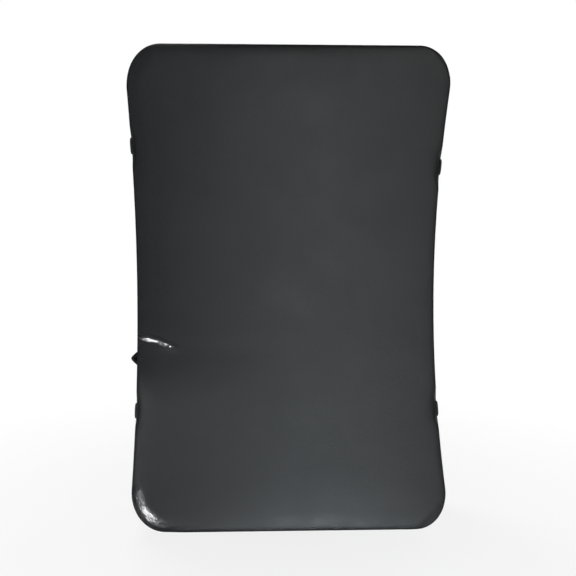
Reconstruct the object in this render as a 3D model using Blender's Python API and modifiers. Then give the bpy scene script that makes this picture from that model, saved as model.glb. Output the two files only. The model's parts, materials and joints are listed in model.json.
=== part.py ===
"""Curved kick shield: a padded shield with a hollow strike face, held by straps and grips on its back.

Metres, +Z up, strike face towards -Y, grips towards +Y. The origin is the middle of the back
panel, between the two hand grips. Depth is measured from the strike face towards the back.
"""
import math

import bmesh
import bpy
from mathutils import Matrix, Vector

# Overall size
FACE_WIDTH = 0.400  # over the piping
FACE_HEIGHT = 0.590  # straight line from end to end, over the piping
FACE_HOLLOW = 0.064  # how far the ends of the strike face stand in front of its middle
BODY_DEPTH = 0.095  # strike face to back panel
CORNER_RADIUS = 0.0415
SEAM_DROP = 0.0055  # how far the seams sit below the flat of either face
ROLL_WIDTH = 0.014  # width of the rounded rim of either face
ROLL_MIDDLE = (0.0045, 0.0015)  # distance from the seam, and drop there

# Materials' thicknesses and clearances
COVER = 0.002
PIPING_RADIUS = 0.002
WALL_SETBACK = 0.0031  # from each seam to the edge of the wall, clear of the piping
WEBBING = 0.0022
GAP = 0.0003
CORE_FRONT_GAP = 0.0008
CORE_SIDE_GAP = 0.0015
CORE_BACK_GAP = 0.0015
CORE_LAYERS = (  # node, share of the core's thickness
    ("core_strike_layer", 0.22),
    ("core_middle_front", 0.29),
    ("core_middle_rear", 0.29),
    ("core_back_layer", 0.20),
)

# Forearm straps
STRAP_WIDTH = 0.020
UPPER_STRAP_HEIGHT = 0.1728  # height of its sewn ends over the middle of the face
LOWER_STRAP_HEIGHT = -0.1532
UPPER_STRAP_LEAN = -0.0248  # rise of the upper strap from left to right
STRAP_BOW = 0.046  # clear height of a strap over the back panel
SLEEVE_LENGTH = 0.180
SLEEVE_WIDTH = 0.060
SLEEVE_THICKNESS = 0.014
BOW_REACH = 0.180  # half the width over which a strap bows clear of the back
BOW_STEP = 0.015

# Hand grips
GRIP_SPACING = 0.140
GRIP_HALF_HEIGHT = 0.066
GRIP_AXIS_HEIGHT = 0.0066
GRIP_BOW = 0.0445
GRIP_WEBBING = (0.0125, 0.0044)  # webbing folded double: width, thickness
GRIP_TAB_WIDTH = 0.025  # the same webbing laid flat
GRIP_SLEEVE_LENGTH = 0.096
GRIP_SLEEVE_RADIUS = 0.014
GRIP_TAB_LENGTH = 0.038
GRIP_TAB_RISE = 0.012  # length over which a tab climbs to the grip's axis
GRIP_PATCH = (0.046, 0.046)

# Zip across the lower back
ZIP_HEIGHT = -0.245
ZIP_LENGTH = 0.280
ZIP_SLOT_WIDTH = 0.009
ZIP_TAPE = (0.012, 0.0008)
ZIP_CHAIN = (0.0044, 0.0018)
ZIP_STOP_LENGTH = 0.002
SLIDER_LENGTH = 0.011
SLIDER_WIDTH = 0.0084
SLIDER_TOP = 0.0015
BRIDGE_RADIUS = 0.0006
BRIDGE_SPAN = 0.0076
BRIDGE_HEIGHT = 0.0032
PULL_LENGTH = 0.026
PULL_WIDTH = 0.007
PULL_THICKNESS = 0.0012
PULL_EYE = (0.0011, 0.0020, 0.0036)  # inner radius, outer radius, length
PULL_SHOULDER = 0.0038  # distance from the eye to where the pull widens

# Vent eyelets and hanging loop on the side walls
EYELET_HEIGHT = 0.045
EYELET_BARREL = (0.0035, 0.0046)  # inner and outer radius
EYELET_FLANGE = (0.0080, 0.0009)  # radius, thickness
LOOP_HEIGHT = -0.0863
LOOP_WIDTH = 0.020
LOOP_SETBACK = 0.003  # from the front piping
LOOP_REACH = 0.0138
LOOP_OPENING = 0.0108
LOOP_TAB = 0.011

# Facets
CORNER_STEPS = 6
BEND_STEPS = 24
PIPING_STEPS = 16
SIDES = 16

HALF_WIDTH = FACE_WIDTH / 2 - 2 * PIPING_RADIUS - GAP
HALF_HEIGHT = FACE_HEIGHT / 2 - 2 * PIPING_RADIUS - GAP
BEND_RADIUS = (HALF_HEIGHT ** 2 + FACE_HOLLOW ** 2) / (2 * FACE_HOLLOW)
BEND_CENTRE_Y = -BODY_DEPTH - BEND_RADIUS
SEAM_DEPTH = SEAM_DROP + COVER + GAP / 2
WALL_START = SEAM_DEPTH + WALL_SETBACK
ZIP_ANGLE = math.asin(ZIP_HEIGHT / (BEND_RADIUS + BODY_DEPTH))
UPRIGHT = Matrix(((0, 0, 1, 0), (1, 0, 0, 0), (0, 1, 0, 0), (0, 0, 0, 1)))  # X to Y, Y to Z, Z to X


# ---------------------------------------------------------------- scene and materials

def clear_scene():
    """Remove everything that a new file starts with."""
    for scene_object in list(bpy.data.objects):
        bpy.data.objects.remove(scene_object)


def new_collection(name):
    """Make a collection under the scene's own."""
    collection = bpy.data.collections.new(name)
    bpy.context.scene.collection.children.link(collection)
    return collection


clear_scene()
PARTS = new_collection("kick_shield")
CUTTERS = new_collection("cutters")


def material(name, colour, roughness, metallic=0.0):
    """A Principled material."""
    made = bpy.data.materials.new(name)
    made.use_nodes = True
    shader = made.node_tree.nodes["Principled BSDF"]
    shader.inputs["Base Color"].default_value = (*colour, 1.0)
    shader.inputs["Roughness"].default_value = roughness
    shader.inputs["Metallic"].default_value = metallic
    return made


LEATHER = material("black_leather", (0.040, 0.041, 0.043), 0.45)
WALL_LEATHER = material("wall_leather", (0.033, 0.034, 0.036), 0.50)
PIPING_VINYL = material("piping_vinyl", (0.020, 0.020, 0.022), 0.35)
BLACK_WEBBING = material("black_webbing", (0.018, 0.018, 0.020), 0.85)
FIRM_FOAM = material("firm_foam", (0.10, 0.10, 0.11), 0.90)
SOFT_FOAM = material("soft_foam", (0.62, 0.60, 0.50), 0.95)
ZIP_FABRIC = material("zip_tape", (0.015, 0.015, 0.016), 0.90)
ZIP_NYLON = material("zip_nylon", (0.020, 0.020, 0.021), 0.40)
DARK_STEEL = material("dark_steel", (0.16, 0.16, 0.17), 0.30, 1.0)


# ---------------------------------------------------------------- geometry helpers

def bent(x, depth, z):
    """A point of the flat design, moved onto the shield's bend."""
    return Vector((x, BEND_CENTRE_Y + math.sqrt((BEND_RADIUS + depth) ** 2 - z ** 2), z))


def square_to_bend(angle, depth):
    """Frame whose Y points out of the back and whose Z climbs the bend, at one angle and depth."""
    radius = BEND_RADIUS + depth
    place = Vector((0, BEND_CENTRE_Y + radius * math.cos(angle), radius * math.sin(angle)))
    return Matrix.Translation(place) @ Matrix.Rotation(angle, 4, "X")


def rounded_rectangle(inset):
    """Points (x, z) of the cover's outline, moved inwards by inset."""
    radius = CORNER_RADIUS - inset
    centre = (HALF_WIDTH - CORNER_RADIUS, HALF_HEIGHT - CORNER_RADIUS)
    signs = ((1, 1), (-1, 1), (-1, -1), (1, -1))
    points = []
    for quarter, (sign_x, sign_z) in enumerate(signs):
        for step in range(CORNER_STEPS + 1):
            angle = math.pi / 2 * (quarter + step / CORNER_STEPS)
            x = sign_x * centre[0] + radius * math.cos(angle)
            z = sign_z * centre[1] + radius * math.sin(angle)
            points.append((x, z))
    return points


def edge_distance(x, z):
    """Distance of a point inside the cover's outline from that outline."""
    beyond_x = abs(x) - (HALF_WIDTH - CORNER_RADIUS)
    beyond_z = abs(z) - (HALF_HEIGHT - CORNER_RADIUS)
    outside = math.hypot(max(beyond_x, 0), max(beyond_z, 0))
    return CORNER_RADIUS - outside - min(max(beyond_x, beyond_z), 0)


def rim_drop(x, z):
    """How far a face has rolled down towards its seam at a point."""
    distance = edge_distance(x, z)
    middle, middle_drop = ROLL_MIDDLE
    if distance >= ROLL_WIDTH:
        return 0.0
    if distance >= middle:
        return middle_drop * (ROLL_WIDTH - distance) / (ROLL_WIDTH - middle)
    return middle_drop + (SEAM_DROP - middle_drop) * (middle - max(distance, 0)) / middle


def link(name, mesh, finish, frame=None, collection=None):
    """Make an object of a mesh, shaded smooth but for its sharp edges."""
    mesh.name = name
    mesh.materials.clear()
    mesh.materials.append(finish)
    mesh.shade_smooth()
    mesh.set_sharp_from_angle(angle=math.radians(35))
    made = bpy.data.objects.new(name, mesh)
    if frame is not None:
        made.matrix_world = frame
    (collection or PARTS).objects.link(made)
    return made


def finished_mesh(work):
    """Turn a bmesh into a mesh with its faces pointing out."""
    bmesh.ops.recalc_face_normals(work, faces=work.faces)
    mesh = bpy.data.meshes.new("mesh")
    work.to_mesh(mesh)
    work.free()
    return mesh


def curve_mesh(curve):
    """Mesh of a curve with its caps welded on."""
    carrier = bpy.data.objects.new("curve", curve)
    bpy.context.scene.collection.objects.link(carrier)
    evaluated = carrier.evaluated_get(bpy.context.evaluated_depsgraph_get())
    mesh = bpy.data.meshes.new_from_object(evaluated)
    bpy.data.objects.remove(carrier)
    bpy.data.curves.remove(curve)
    work = bmesh.new()
    work.from_mesh(mesh)
    bpy.data.meshes.remove(mesh)
    bmesh.ops.remove_doubles(work, verts=work.verts, dist=0.00001)
    return work


def flat_curve(outline, thickness, filled=True):
    """Bmesh of a flat outline (x, z), given a thickness along Y; unfilled leaves only the rim."""
    curve = bpy.data.curves.new("outline", "CURVE")
    curve.dimensions = "2D"
    curve.fill_mode = "BOTH" if filled else "NONE"
    curve.extrude = thickness / 2
    spline = curve.splines.new("POLY")
    spline.points.add(len(outline) - 1)
    for point, (x, z) in zip(spline.points, outline):
        point.co = (x, z, 0, 1)
    spline.use_cyclic_u = True
    work = curve_mesh(curve)
    upright = Matrix.Rotation(math.pi / 2, 3, "X")
    bmesh.ops.rotate(work, matrix=upright, verts=work.verts)
    return work


def tube_mesh(points, radius, cyclic=False, resolution=2):
    """Mesh of a round bar along points, with filled caps unless it is a ring."""
    curve = bpy.data.curves.new("bar", "CURVE")
    curve.dimensions = "3D"
    curve.bevel_depth = radius
    curve.bevel_resolution = resolution
    curve.use_fill_caps = not cyclic
    spline = curve.splines.new("POLY")
    spline.points.add(len(points) - 1)
    for point, place in zip(spline.points, points):
        point.co = (*place, 1)
    spline.use_cyclic_u = cyclic
    return finished_mesh(curve_mesh(curve))


def cut_into_bands(work, count):
    """Cut a flat shape into level bands, so that it can bend."""
    for step in range(1, count):
        level = HALF_HEIGHT * (2 * step / count - 1)
        geometry = list(work.verts) + list(work.edges) + list(work.faces)
        bmesh.ops.bisect_plane(work, geom=geometry, plane_co=(0, 0, level), plane_no=(0, 0, 1))


def rolled_outline(inset, thickness, rolled_sides):
    """A flat layer within the cover's outline, ringed where a face (-1 front, 1 back) rolls down."""
    work = flat_curve(rounded_rectangle(inset), thickness)
    flat = math.radians(0.5)
    bmesh.ops.dissolve_limit(work, angle_limit=flat, verts=work.verts, edges=work.edges)
    for side in rolled_sides:
        reached = inset
        for distance in (ROLL_MIDDLE[0], ROLL_WIDTH):
            facing = [face for face in work.faces if face.normal.y * side > 0.9]
            middle = max(facing, key=lambda face: face.calc_area())
            step = distance - reached
            bmesh.ops.inset_region(work, faces=[middle], thickness=step, use_even_offset=True)
            reached = distance
    cut_into_bands(work, BEND_STEPS)
    return work


def slab_mesh(inset, front_depth, back_depth, rolled_front=False, rolled_back=False):
    """A foam layer between two depths, whose faces may roll down to the seams."""
    rolled_sides = [side for side, rolled in ((-1, rolled_front), (1, rolled_back)) if rolled]
    work = rolled_outline(inset, back_depth - front_depth, rolled_sides)
    for vertex in work.verts:
        x, y, z = vertex.co
        if y < 0:
            depth = front_depth + (rim_drop(x, z) if rolled_front else 0)
        else:
            depth = back_depth - (rim_drop(x, z) if rolled_back else 0)
        vertex.co = bent(x, depth, z)
    return finished_mesh(work)


def skin_mesh(is_front):
    """The strike face or the back: a skin of even depth that rolls down to its seam."""
    work = rolled_outline(0, COVER, (-1, 1))
    for vertex in work.verts:
        x, y, z = vertex.co
        is_inner = (y > 0) == is_front
        depth = rim_drop(x, z) + (COVER if is_inner else 0)
        vertex.co = bent(x, depth if is_front else BODY_DEPTH - depth, z)
    return finished_mesh(work)


def keep_above(mesh, plane_point, plane_normal):
    """Cut a closed mesh by a plane, keep the side that the normal points to and close the cut."""
    work = bmesh.new()
    work.from_mesh(mesh)
    geometry = list(work.verts) + list(work.edges) + list(work.faces)
    cut = bmesh.ops.bisect_plane(
        work, geom=geometry, plane_co=plane_point, plane_no=plane_normal, clear_inner=True)
    edges = [item for item in cut["geom_cut"] if isinstance(item, bmesh.types.BMEdge)]
    bmesh.ops.contextual_create(work, geom=edges)
    bmesh.ops.triangulate(work, faces=[face for face in work.faces if len(face.verts) > 4])
    return finished_mesh(work)


def ribbon_mesh(path, width, lean=0.0):
    """Open strip along a path of (x, y), its width along Z, climbing by lean for each metre of X."""
    work = bmesh.new()
    verts = [work.verts.new((x, y, lean * x - width / 2)) for x, y in path]
    edges = [work.edges.new(pair) for pair in zip(verts, verts[1:])]
    grown = bmesh.ops.extrude_edge_only(work, edges=edges)["geom"]
    upper = [item for item in grown if isinstance(item, bmesh.types.BMVert)]
    bmesh.ops.translate(work, vec=(0, 0, width), verts=upper)
    return finished_mesh(work)


def solidify(made, thickness, offset=0.0):
    """Give an open strip its thickness."""
    modifier = made.modifiers.new("thickness", "SOLIDIFY")
    modifier.thickness = thickness
    modifier.offset = offset
    modifier.use_even_offset = True


def bevel(made, width, segments=2):
    """Round an object's sharp edges."""
    modifier = made.modifiers.new("rounding", "BEVEL")
    modifier.width = width
    modifier.segments = segments
    modifier.limit_method = "ANGLE"
    modifier.angle_limit = math.radians(40)


def combine(made, helper, operation="DIFFERENCE"):
    """Take a helper's shape out of an object, or join it on with UNION."""
    helper.hide_render = True
    helper.display_type = "WIRE"
    modifier = made.modifiers.new(helper.name, "BOOLEAN")
    modifier.object = helper
    modifier.operation = operation
    modifier.solver = "EXACT"


def box_mesh(low, high):
    """A box between two corners."""
    work = bmesh.new()
    bmesh.ops.create_cube(work, size=1)
    middle = [(a + b) / 2 for a, b in zip(low, high)]
    size = [b - a for a, b in zip(low, high)]
    bmesh.ops.scale(work, vec=size, verts=work.verts)
    bmesh.ops.translate(work, vec=middle, verts=work.verts)
    return finished_mesh(work)


def cylinder_mesh(radius, length):
    """A cylinder along X about the origin."""
    work = bmesh.new()
    along_x = Matrix.Rotation(math.pi / 2, 4, "Y")
    bmesh.ops.create_cone(
        work, cap_ends=True, segments=SIDES, radius1=radius, radius2=radius, depth=length, matrix=along_x)
    return finished_mesh(work)


# ---------------------------------------------------------------- cover and core

def make_panels():
    """Strike face and the two back panels, which part along the zip."""
    link("front_panel", skin_mesh(is_front=True), LEATHER)
    back = skin_mesh(is_front=False)
    frame = square_to_bend(ZIP_ANGLE, BODY_DEPTH)
    up = frame.to_3x3() @ Vector((0, 0, 1))
    half_gap = up * GAP / 2
    upper = keep_above(back, frame.translation + half_gap, up)
    lower = keep_above(back, frame.translation - half_gap, -up)
    bpy.data.meshes.remove(back)
    slot_end = ZIP_LENGTH / 2 + ZIP_STOP_LENGTH + 0.004
    half_slot = ZIP_SLOT_WIDTH / 2
    slot = box_mesh((-slot_end, -0.02, -half_slot), (slot_end, 0.02, half_slot))
    cutter = link("zip_slot_cutter", slot, LEATHER, frame, CUTTERS)
    for name, mesh in (("back_panel_upper", upper), ("back_panel_lower", lower)):
        combine(link(name, mesh, WALL_LEATHER), cutter)


def make_side_walls():
    """The wall strip, as an upper and a lower U that meet halfway up each side."""
    for name, direction in (("side_wall_upper", 1), ("side_wall_lower", -1)):
        work = flat_curve(rounded_rectangle(0), BODY_DEPTH, filled=False)
        cut_into_bands(work, BEND_STEPS)
        geometry = list(work.verts) + list(work.edges) + list(work.faces)
        bmesh.ops.bisect_plane(
            work, geom=geometry, plane_co=(0, 0, direction * GAP / 2), plane_no=(0, 0, direction),
            clear_inner=True)
        for vertex in work.verts:
            x, y, z = vertex.co
            vertex.co = bent(x, WALL_START if y < 0 else BODY_DEPTH - WALL_START, z)
        outward = min(work.faces, key=lambda face: face.calc_center_median().x)
        if outward.normal.x > 0:
            bmesh.ops.reverse_faces(work, faces=work.faces)
        mesh = bpy.data.meshes.new(name)
        work.to_mesh(mesh)
        work.free()
        wall = link(name, mesh, WALL_LEATHER)
        solidify(wall, COVER, offset=-1.0)
        for side in (-1, 1):
            place = bent(side * HALF_WIDTH, BODY_DEPTH / 2, direction * EYELET_HEIGHT)
            hole = cylinder_mesh(EYELET_BARREL[1] + GAP, 0.02)
            cutter = link(f"{name}_hole_cutter", hole, LEATHER, Matrix.Translation(place), CUTTERS)
            combine(wall, cutter)


def make_piping():
    """The two pipings: rings that follow the outline at the depth of each seam."""
    offset = PIPING_RADIUS + GAP
    outline = rounded_rectangle(-offset)
    straight = HALF_HEIGHT - CORNER_RADIUS
    for name, depth in (("piping_front", SEAM_DEPTH), ("piping_back", BODY_DEPTH - SEAM_DEPTH)):
        points = []
        for index, (x, z) in enumerate(outline):
            points.append(bent(x, depth, z))
            next_x, next_z = outline[(index + 1) % len(outline)]
            if abs(next_z - z) > straight:
                for step in range(1, PIPING_STEPS):
                    points.append(bent(x, depth, z + (next_z - z) * step / PIPING_STEPS))
        link(name, tube_mesh(points, PIPING_RADIUS, cyclic=True), PIPING_VINYL)


def make_core():
    """Four foam layers that fill the cover from the strike face to the back."""
    start = COVER + CORE_FRONT_GAP
    end = BODY_DEPTH - COVER - CORE_BACK_GAP
    inset = COVER + CORE_SIDE_GAP
    share_before = 0.0
    for name, share in CORE_LAYERS:
        front = start + (end - start) * share_before
        share_before += share
        back = start + (end - start) * share_before
        is_first = name == CORE_LAYERS[0][0]
        is_last = name == CORE_LAYERS[-1][0]
        mesh = slab_mesh(inset, front, back - (0 if is_last else GAP), is_first, is_last)
        link(name, mesh, FIRM_FOAM if is_first or is_last else SOFT_FOAM)


# ---------------------------------------------------------------- forearm straps

def bow_depth(x):
    """Depth of a strap's middle line where it bows over the back."""
    start = HALF_WIDTH - 0.006
    return BODY_DEPTH + 0.003 + STRAP_BOW * (1 - (abs(x) / start) ** 2.2)


def strap_path():
    """A strap's middle line (x, depth): up one wall, over the back and down the other wall."""
    on_wall = HALF_WIDTH + GAP + WEBBING / 2
    over_piping = FACE_WIDTH / 2 + GAP + WEBBING / 2
    back_seam = BODY_DEPTH - SEAM_DEPTH
    wall = [
        (over_piping, SEAM_DEPTH - 0.002),
        (over_piping, SEAM_DEPTH + 0.003),
        (on_wall, SEAM_DEPTH + 0.010),
        (on_wall, back_seam - 0.010),
        (over_piping, back_seam - 0.003),
        (over_piping, back_seam + 0.003),
    ]
    return wall + bow_path(BOW_REACH) + [(-x, depth) for x, depth in reversed(wall)]


def bow_path(reach):
    """A strap's middle line where it bows over the back, out to a reach on either side."""
    steps = round(reach / BOW_STEP)
    return [(step * BOW_STEP, bow_depth(step * BOW_STEP)) for step in range(steps, -steps - 1, -1)]


def make_straps():
    """Upper and lower forearm straps with their padded sleeves."""
    sleeve_path = bow_path(SLEEVE_LENGTH / 2)
    slot_path = bow_path(SLEEVE_LENGTH / 2 + BOW_STEP)
    upper_lean = UPPER_STRAP_LEAN / FACE_WIDTH
    straps = (("upper_strap", UPPER_STRAP_HEIGHT, upper_lean), ("lower_strap", LOWER_STRAP_HEIGHT, 0.0))
    for name, height, lean in straps:
        frame = square_to_bend(math.asin(height / BEND_RADIUS), 0)
        strap = link(name, ribbon_mesh(strap_path(), STRAP_WIDTH, lean), BLACK_WEBBING, frame)
        solidify(strap, WEBBING)
        sleeve = link(f"{name}_sleeve", ribbon_mesh(sleeve_path, SLEEVE_WIDTH, lean), LEATHER, frame)
        solidify(sleeve, SLEEVE_THICKNESS)
        bevel(sleeve, 0.005)
        slot_mesh = ribbon_mesh(slot_path, STRAP_WIDTH + 2 * GAP, lean)
        slot = link(f"{name}_slot_cutter", slot_mesh, LEATHER, frame, CUTTERS)
        solidify(slot, WEBBING + 2 * GAP)
        combine(sleeve, slot)


# ---------------------------------------------------------------- hand grips

def grip_path(reach):
    """A grip's middle line (depth over the axis, height), up to a height of reach either way."""
    steps = 14
    points = []
    for step in range(steps + 1):
        height = reach * math.cos(math.pi * step / steps)
        fullness = max(0.0, 1 - (abs(height) / GRIP_HALF_HEIGHT) ** 3.4)
        points.append((GRIP_BOW * fullness ** (1 / 2.2), height))
    return points


def make_grips():
    """Two upright hand grips that swing on the line between their sewn ends."""
    width, thickness = GRIP_WEBBING
    for side, x in (("left", -GRIP_SPACING / 2), ("right", GRIP_SPACING / 2)):
        axis = bpy.data.objects.new(f"{side}_grip_axis", None)
        axis.location = (x, GRIP_AXIS_HEIGHT, 0)
        PARTS.objects.link(axis)
        path = grip_path(GRIP_HALF_HEIGHT)
        webbing = link(f"{side}_grip_webbing", ribbon_mesh(path, width), BLACK_WEBBING, UPRIGHT)
        solidify(webbing, thickness)
        sleeve_points = [(0, y, z) for y, z in grip_path(GRIP_SLEEVE_LENGTH / 2)]
        sleeve = link(f"{side}_grip_sleeve", tube_mesh(sleeve_points, GRIP_SLEEVE_RADIUS), LEATHER)
        slot_mesh = ribbon_mesh(path, width + 2 * GAP)
        slot = link(f"{side}_grip_slot_cutter", slot_mesh, LEATHER, UPRIGHT, CUTTERS)
        solidify(slot, thickness + 2 * GAP)
        combine(sleeve, slot)
        for piece in (webbing, sleeve, slot):
            piece.parent = axis
        for end, direction in (("upper", 1), ("lower", -1)):
            make_grip_anchor(side, end, x, direction)


def make_grip_anchor(side, end, x, direction):
    """The patch and the sewn tab that hold one end of a grip."""
    start = GRIP_HALF_HEIGHT + GRIP_WEBBING[1] / 2 + 2 * GAP
    middle = start + GRIP_TAB_LENGTH / 2
    angle = direction * math.asin(middle / (BEND_RADIUS + BODY_DEPTH))
    frame = Matrix.Translation((x, 0, 0)) @ square_to_bend(angle, BODY_DEPTH)
    half_width, half_height = GRIP_PATCH[0] / 2, GRIP_PATCH[1] / 2
    patch_mesh = box_mesh((-half_width, GAP, -half_height), (half_width, GAP + COVER, half_height))
    patch = link(f"{side}_grip_patch_{end}", patch_mesh, LEATHER, frame)
    bevel(patch, 0.0006, segments=1)
    flat_height = COVER + 2 * GAP + WEBBING / 2
    nose = frame.inverted() @ Vector((x, GRIP_AXIS_HEIGHT, direction * start))
    path = [
        (nose.y, nose.z),
        (flat_height, nose.z + direction * GRIP_TAB_RISE),
        (flat_height, nose.z + direction * GRIP_TAB_LENGTH),
    ]
    tab = link(f"{side}_grip_tab_{end}", ribbon_mesh(path, GRIP_TAB_WIDTH), BLACK_WEBBING, frame @ UPRIGHT)
    solidify(tab, WEBBING)


# ---------------------------------------------------------------- zip

def make_zip():
    """A closed zip across the lower back, with its slider at the right end."""
    frame = square_to_bend(ZIP_ANGLE, BODY_DEPTH)
    tape_width, tape_thickness = ZIP_TAPE
    chain_width, chain_height = ZIP_CHAIN
    tape_top = -COVER - GAP
    tape_end = ZIP_LENGTH / 2 + ZIP_STOP_LENGTH + 0.003
    for name, side in (("zip_tape_upper", 1), ("zip_tape_lower", -1)):
        near, far = side * GAP / 2, side * tape_width
        low = (-tape_end, tape_top - tape_thickness, min(near, far))
        high = (tape_end, tape_top, max(near, far))
        link(name, box_mesh(low, high), ZIP_FABRIC, frame)
    chain_low = tape_top + GAP
    half_chain, half_length = chain_width / 2, ZIP_LENGTH / 2
    chain_top = chain_low + chain_height
    chain = box_mesh((-half_length, chain_low, -half_chain), (half_length, chain_top, half_chain))
    link("zip_chain", chain, ZIP_NYLON, frame)
    for name, side in (("zip_stop_left", -1), ("zip_stop_right", 1)):
        near = side * (half_length + GAP)
        far = side * (half_length + GAP + ZIP_STOP_LENGTH)
        low = (min(near, far), chain_low, -half_chain)
        high = (max(near, far), chain_top, half_chain)
        link(name, box_mesh(low, high), DARK_STEEL, frame)
    make_slider_and_pull(frame, chain_low, chain_height, half_chain)


def make_slider_and_pull(zip_frame, chain_low, chain_height, half_chain):
    """The slider rides over the chain; its pull hangs straight down from the slider's bridge."""
    half_length, half_width = SLIDER_LENGTH / 2, SLIDER_WIDTH / 2
    slider_x = ZIP_LENGTH / 2 - half_length - ZIP_STOP_LENGTH
    frame = zip_frame @ Matrix.Translation((slider_x, 0, 0))
    body = box_mesh((-half_length, chain_low + GAP, -half_width), (half_length, SLIDER_TOP, half_width))
    slider = link("zip_slider", body, DARK_STEEL, frame)
    bevel(slider, 0.0005, segments=1)
    channel_half = half_chain + GAP
    channel_top = chain_low + chain_height + GAP
    channel = box_mesh((-0.02, -0.01, -channel_half), (0.02, channel_top, channel_half))
    combine(slider, link("zip_channel_cutter", channel, DARK_STEEL, frame, CUTTERS))
    half_span, bar_height = BRIDGE_SPAN / 2, SLIDER_TOP + BRIDGE_HEIGHT
    foot = SLIDER_TOP - BRIDGE_RADIUS
    left_leg = [(-half_span, foot, 0), (-half_span, bar_height, 0)]
    arch = left_leg + [(-x, y, z) for x, y, z in reversed(left_leg)]
    bridge = link("zip_bridge", tube_mesh(arch, BRIDGE_RADIUS), DARK_STEEL, frame, CUTTERS)
    combine(slider, bridge, "UNION")

    place = Matrix.Translation(frame @ Vector((0, bar_height, 0)))
    inner, outer, length = PULL_EYE
    half_pull, half_thickness = PULL_WIDTH / 2, PULL_THICKNESS / 2
    pull = link("zip_pull", cylinder_mesh(outer, length), DARK_STEEL, place)
    neck = box_mesh((-length / 2, -half_thickness, -PULL_SHOULDER - 0.002), (length / 2, half_thickness, 0))
    tab = box_mesh((-half_pull, -half_thickness, -PULL_LENGTH), (half_pull, half_thickness, -PULL_SHOULDER))
    for name, mesh in (("pull_neck", neck), ("pull_tab", tab)):
        combine(pull, link(name, mesh, DARK_STEEL, place, CUTTERS), "UNION")
    combine(pull, link("pull_eye_cutter", cylinder_mesh(inner, 0.02), DARK_STEEL, place, CUTTERS))


# ---------------------------------------------------------------- side wall hardware

def eyelet_profile():
    """Half section of an eyelet on the X axis: flange outside the wall at +X, barrel through it."""
    inner, barrel = EYELET_BARREL
    flange, thickness = EYELET_FLANGE
    top = GAP + thickness
    profile = [(inner, -COVER), (inner, top), (flange - 0.001, top), (flange, GAP + 0.0002),
               (flange, GAP), (barrel, GAP), (barrel, -COVER)]
    work = bmesh.new()
    verts = [work.verts.new((x, radius, 0)) for radius, x in profile]
    for pair in zip(verts, verts[1:] + verts[:1]):
        work.edges.new(pair)
    return finished_mesh(work)


def make_eyelets():
    """Two vent eyelets in each side wall."""
    for side, sign_x in (("left", -1), ("right", 1)):
        for level, sign_z in (("upper", 1), ("lower", -1)):
            place = bent(sign_x * HALF_WIDTH, BODY_DEPTH / 2, sign_z * EYELET_HEIGHT)
            frame = Matrix.Translation(place) @ Matrix.Rotation(0 if sign_x > 0 else math.pi, 4, "Z")
            eyelet = link(f"vent_eyelet_{side}_{level}", eyelet_profile(), DARK_STEEL, frame)
            turning = eyelet.modifiers.new("turning", "SCREW")
            turning.axis = "X"
            turning.steps = turning.render_steps = SIDES
            turning.use_merge_vertices = True
            turning.merge_threshold = 0.00001
            turning.use_normal_calculate = True


def make_hanging_loop():
    """A strip of webbing folded to a point and sewn to the left wall by its two ends."""
    angle = math.asin(LOOP_HEIGHT / BEND_RADIUS)
    depth = SEAM_DEPTH + PIPING_RADIUS + LOOP_SETBACK + LOOP_WIDTH / 2
    wall = GAP + WEBBING / 2
    tip = LOOP_REACH - WEBBING / 2
    half = [(wall, LOOP_OPENING + LOOP_TAB), (wall, LOOP_OPENING), (tip - 0.001, 0.001), (tip, 0)]
    path = half + [(x, -z) for x, z in reversed(half[:-1])]
    lie_down = Matrix(((-1, 0, 0, -HALF_WIDTH), (0, 0, 1, 0), (0, 1, 0, 0), (0, 0, 0, 1)))
    frame = square_to_bend(angle, depth) @ lie_down
    loop = link("hanging_loop", ribbon_mesh(path, LOOP_WIDTH), BLACK_WEBBING, frame)
    solidify(loop, WEBBING)


make_panels()
make_side_walls()
make_piping()
make_core()
make_straps()
make_grips()
make_zip()
make_eyelets()
make_hanging_loop()
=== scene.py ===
"""Looks of the curved kick shield: leather skins, piping, webbing, pads, stitching, zip and eyelets.

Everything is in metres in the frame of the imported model: +Z up, strike face towards -Y, origin in
the middle of the back panel. Depth is measured from the strike face towards the back.
"""
import json
import math

import bmesh
import bpy
from mathutils import Matrix, Vector, noise

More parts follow.
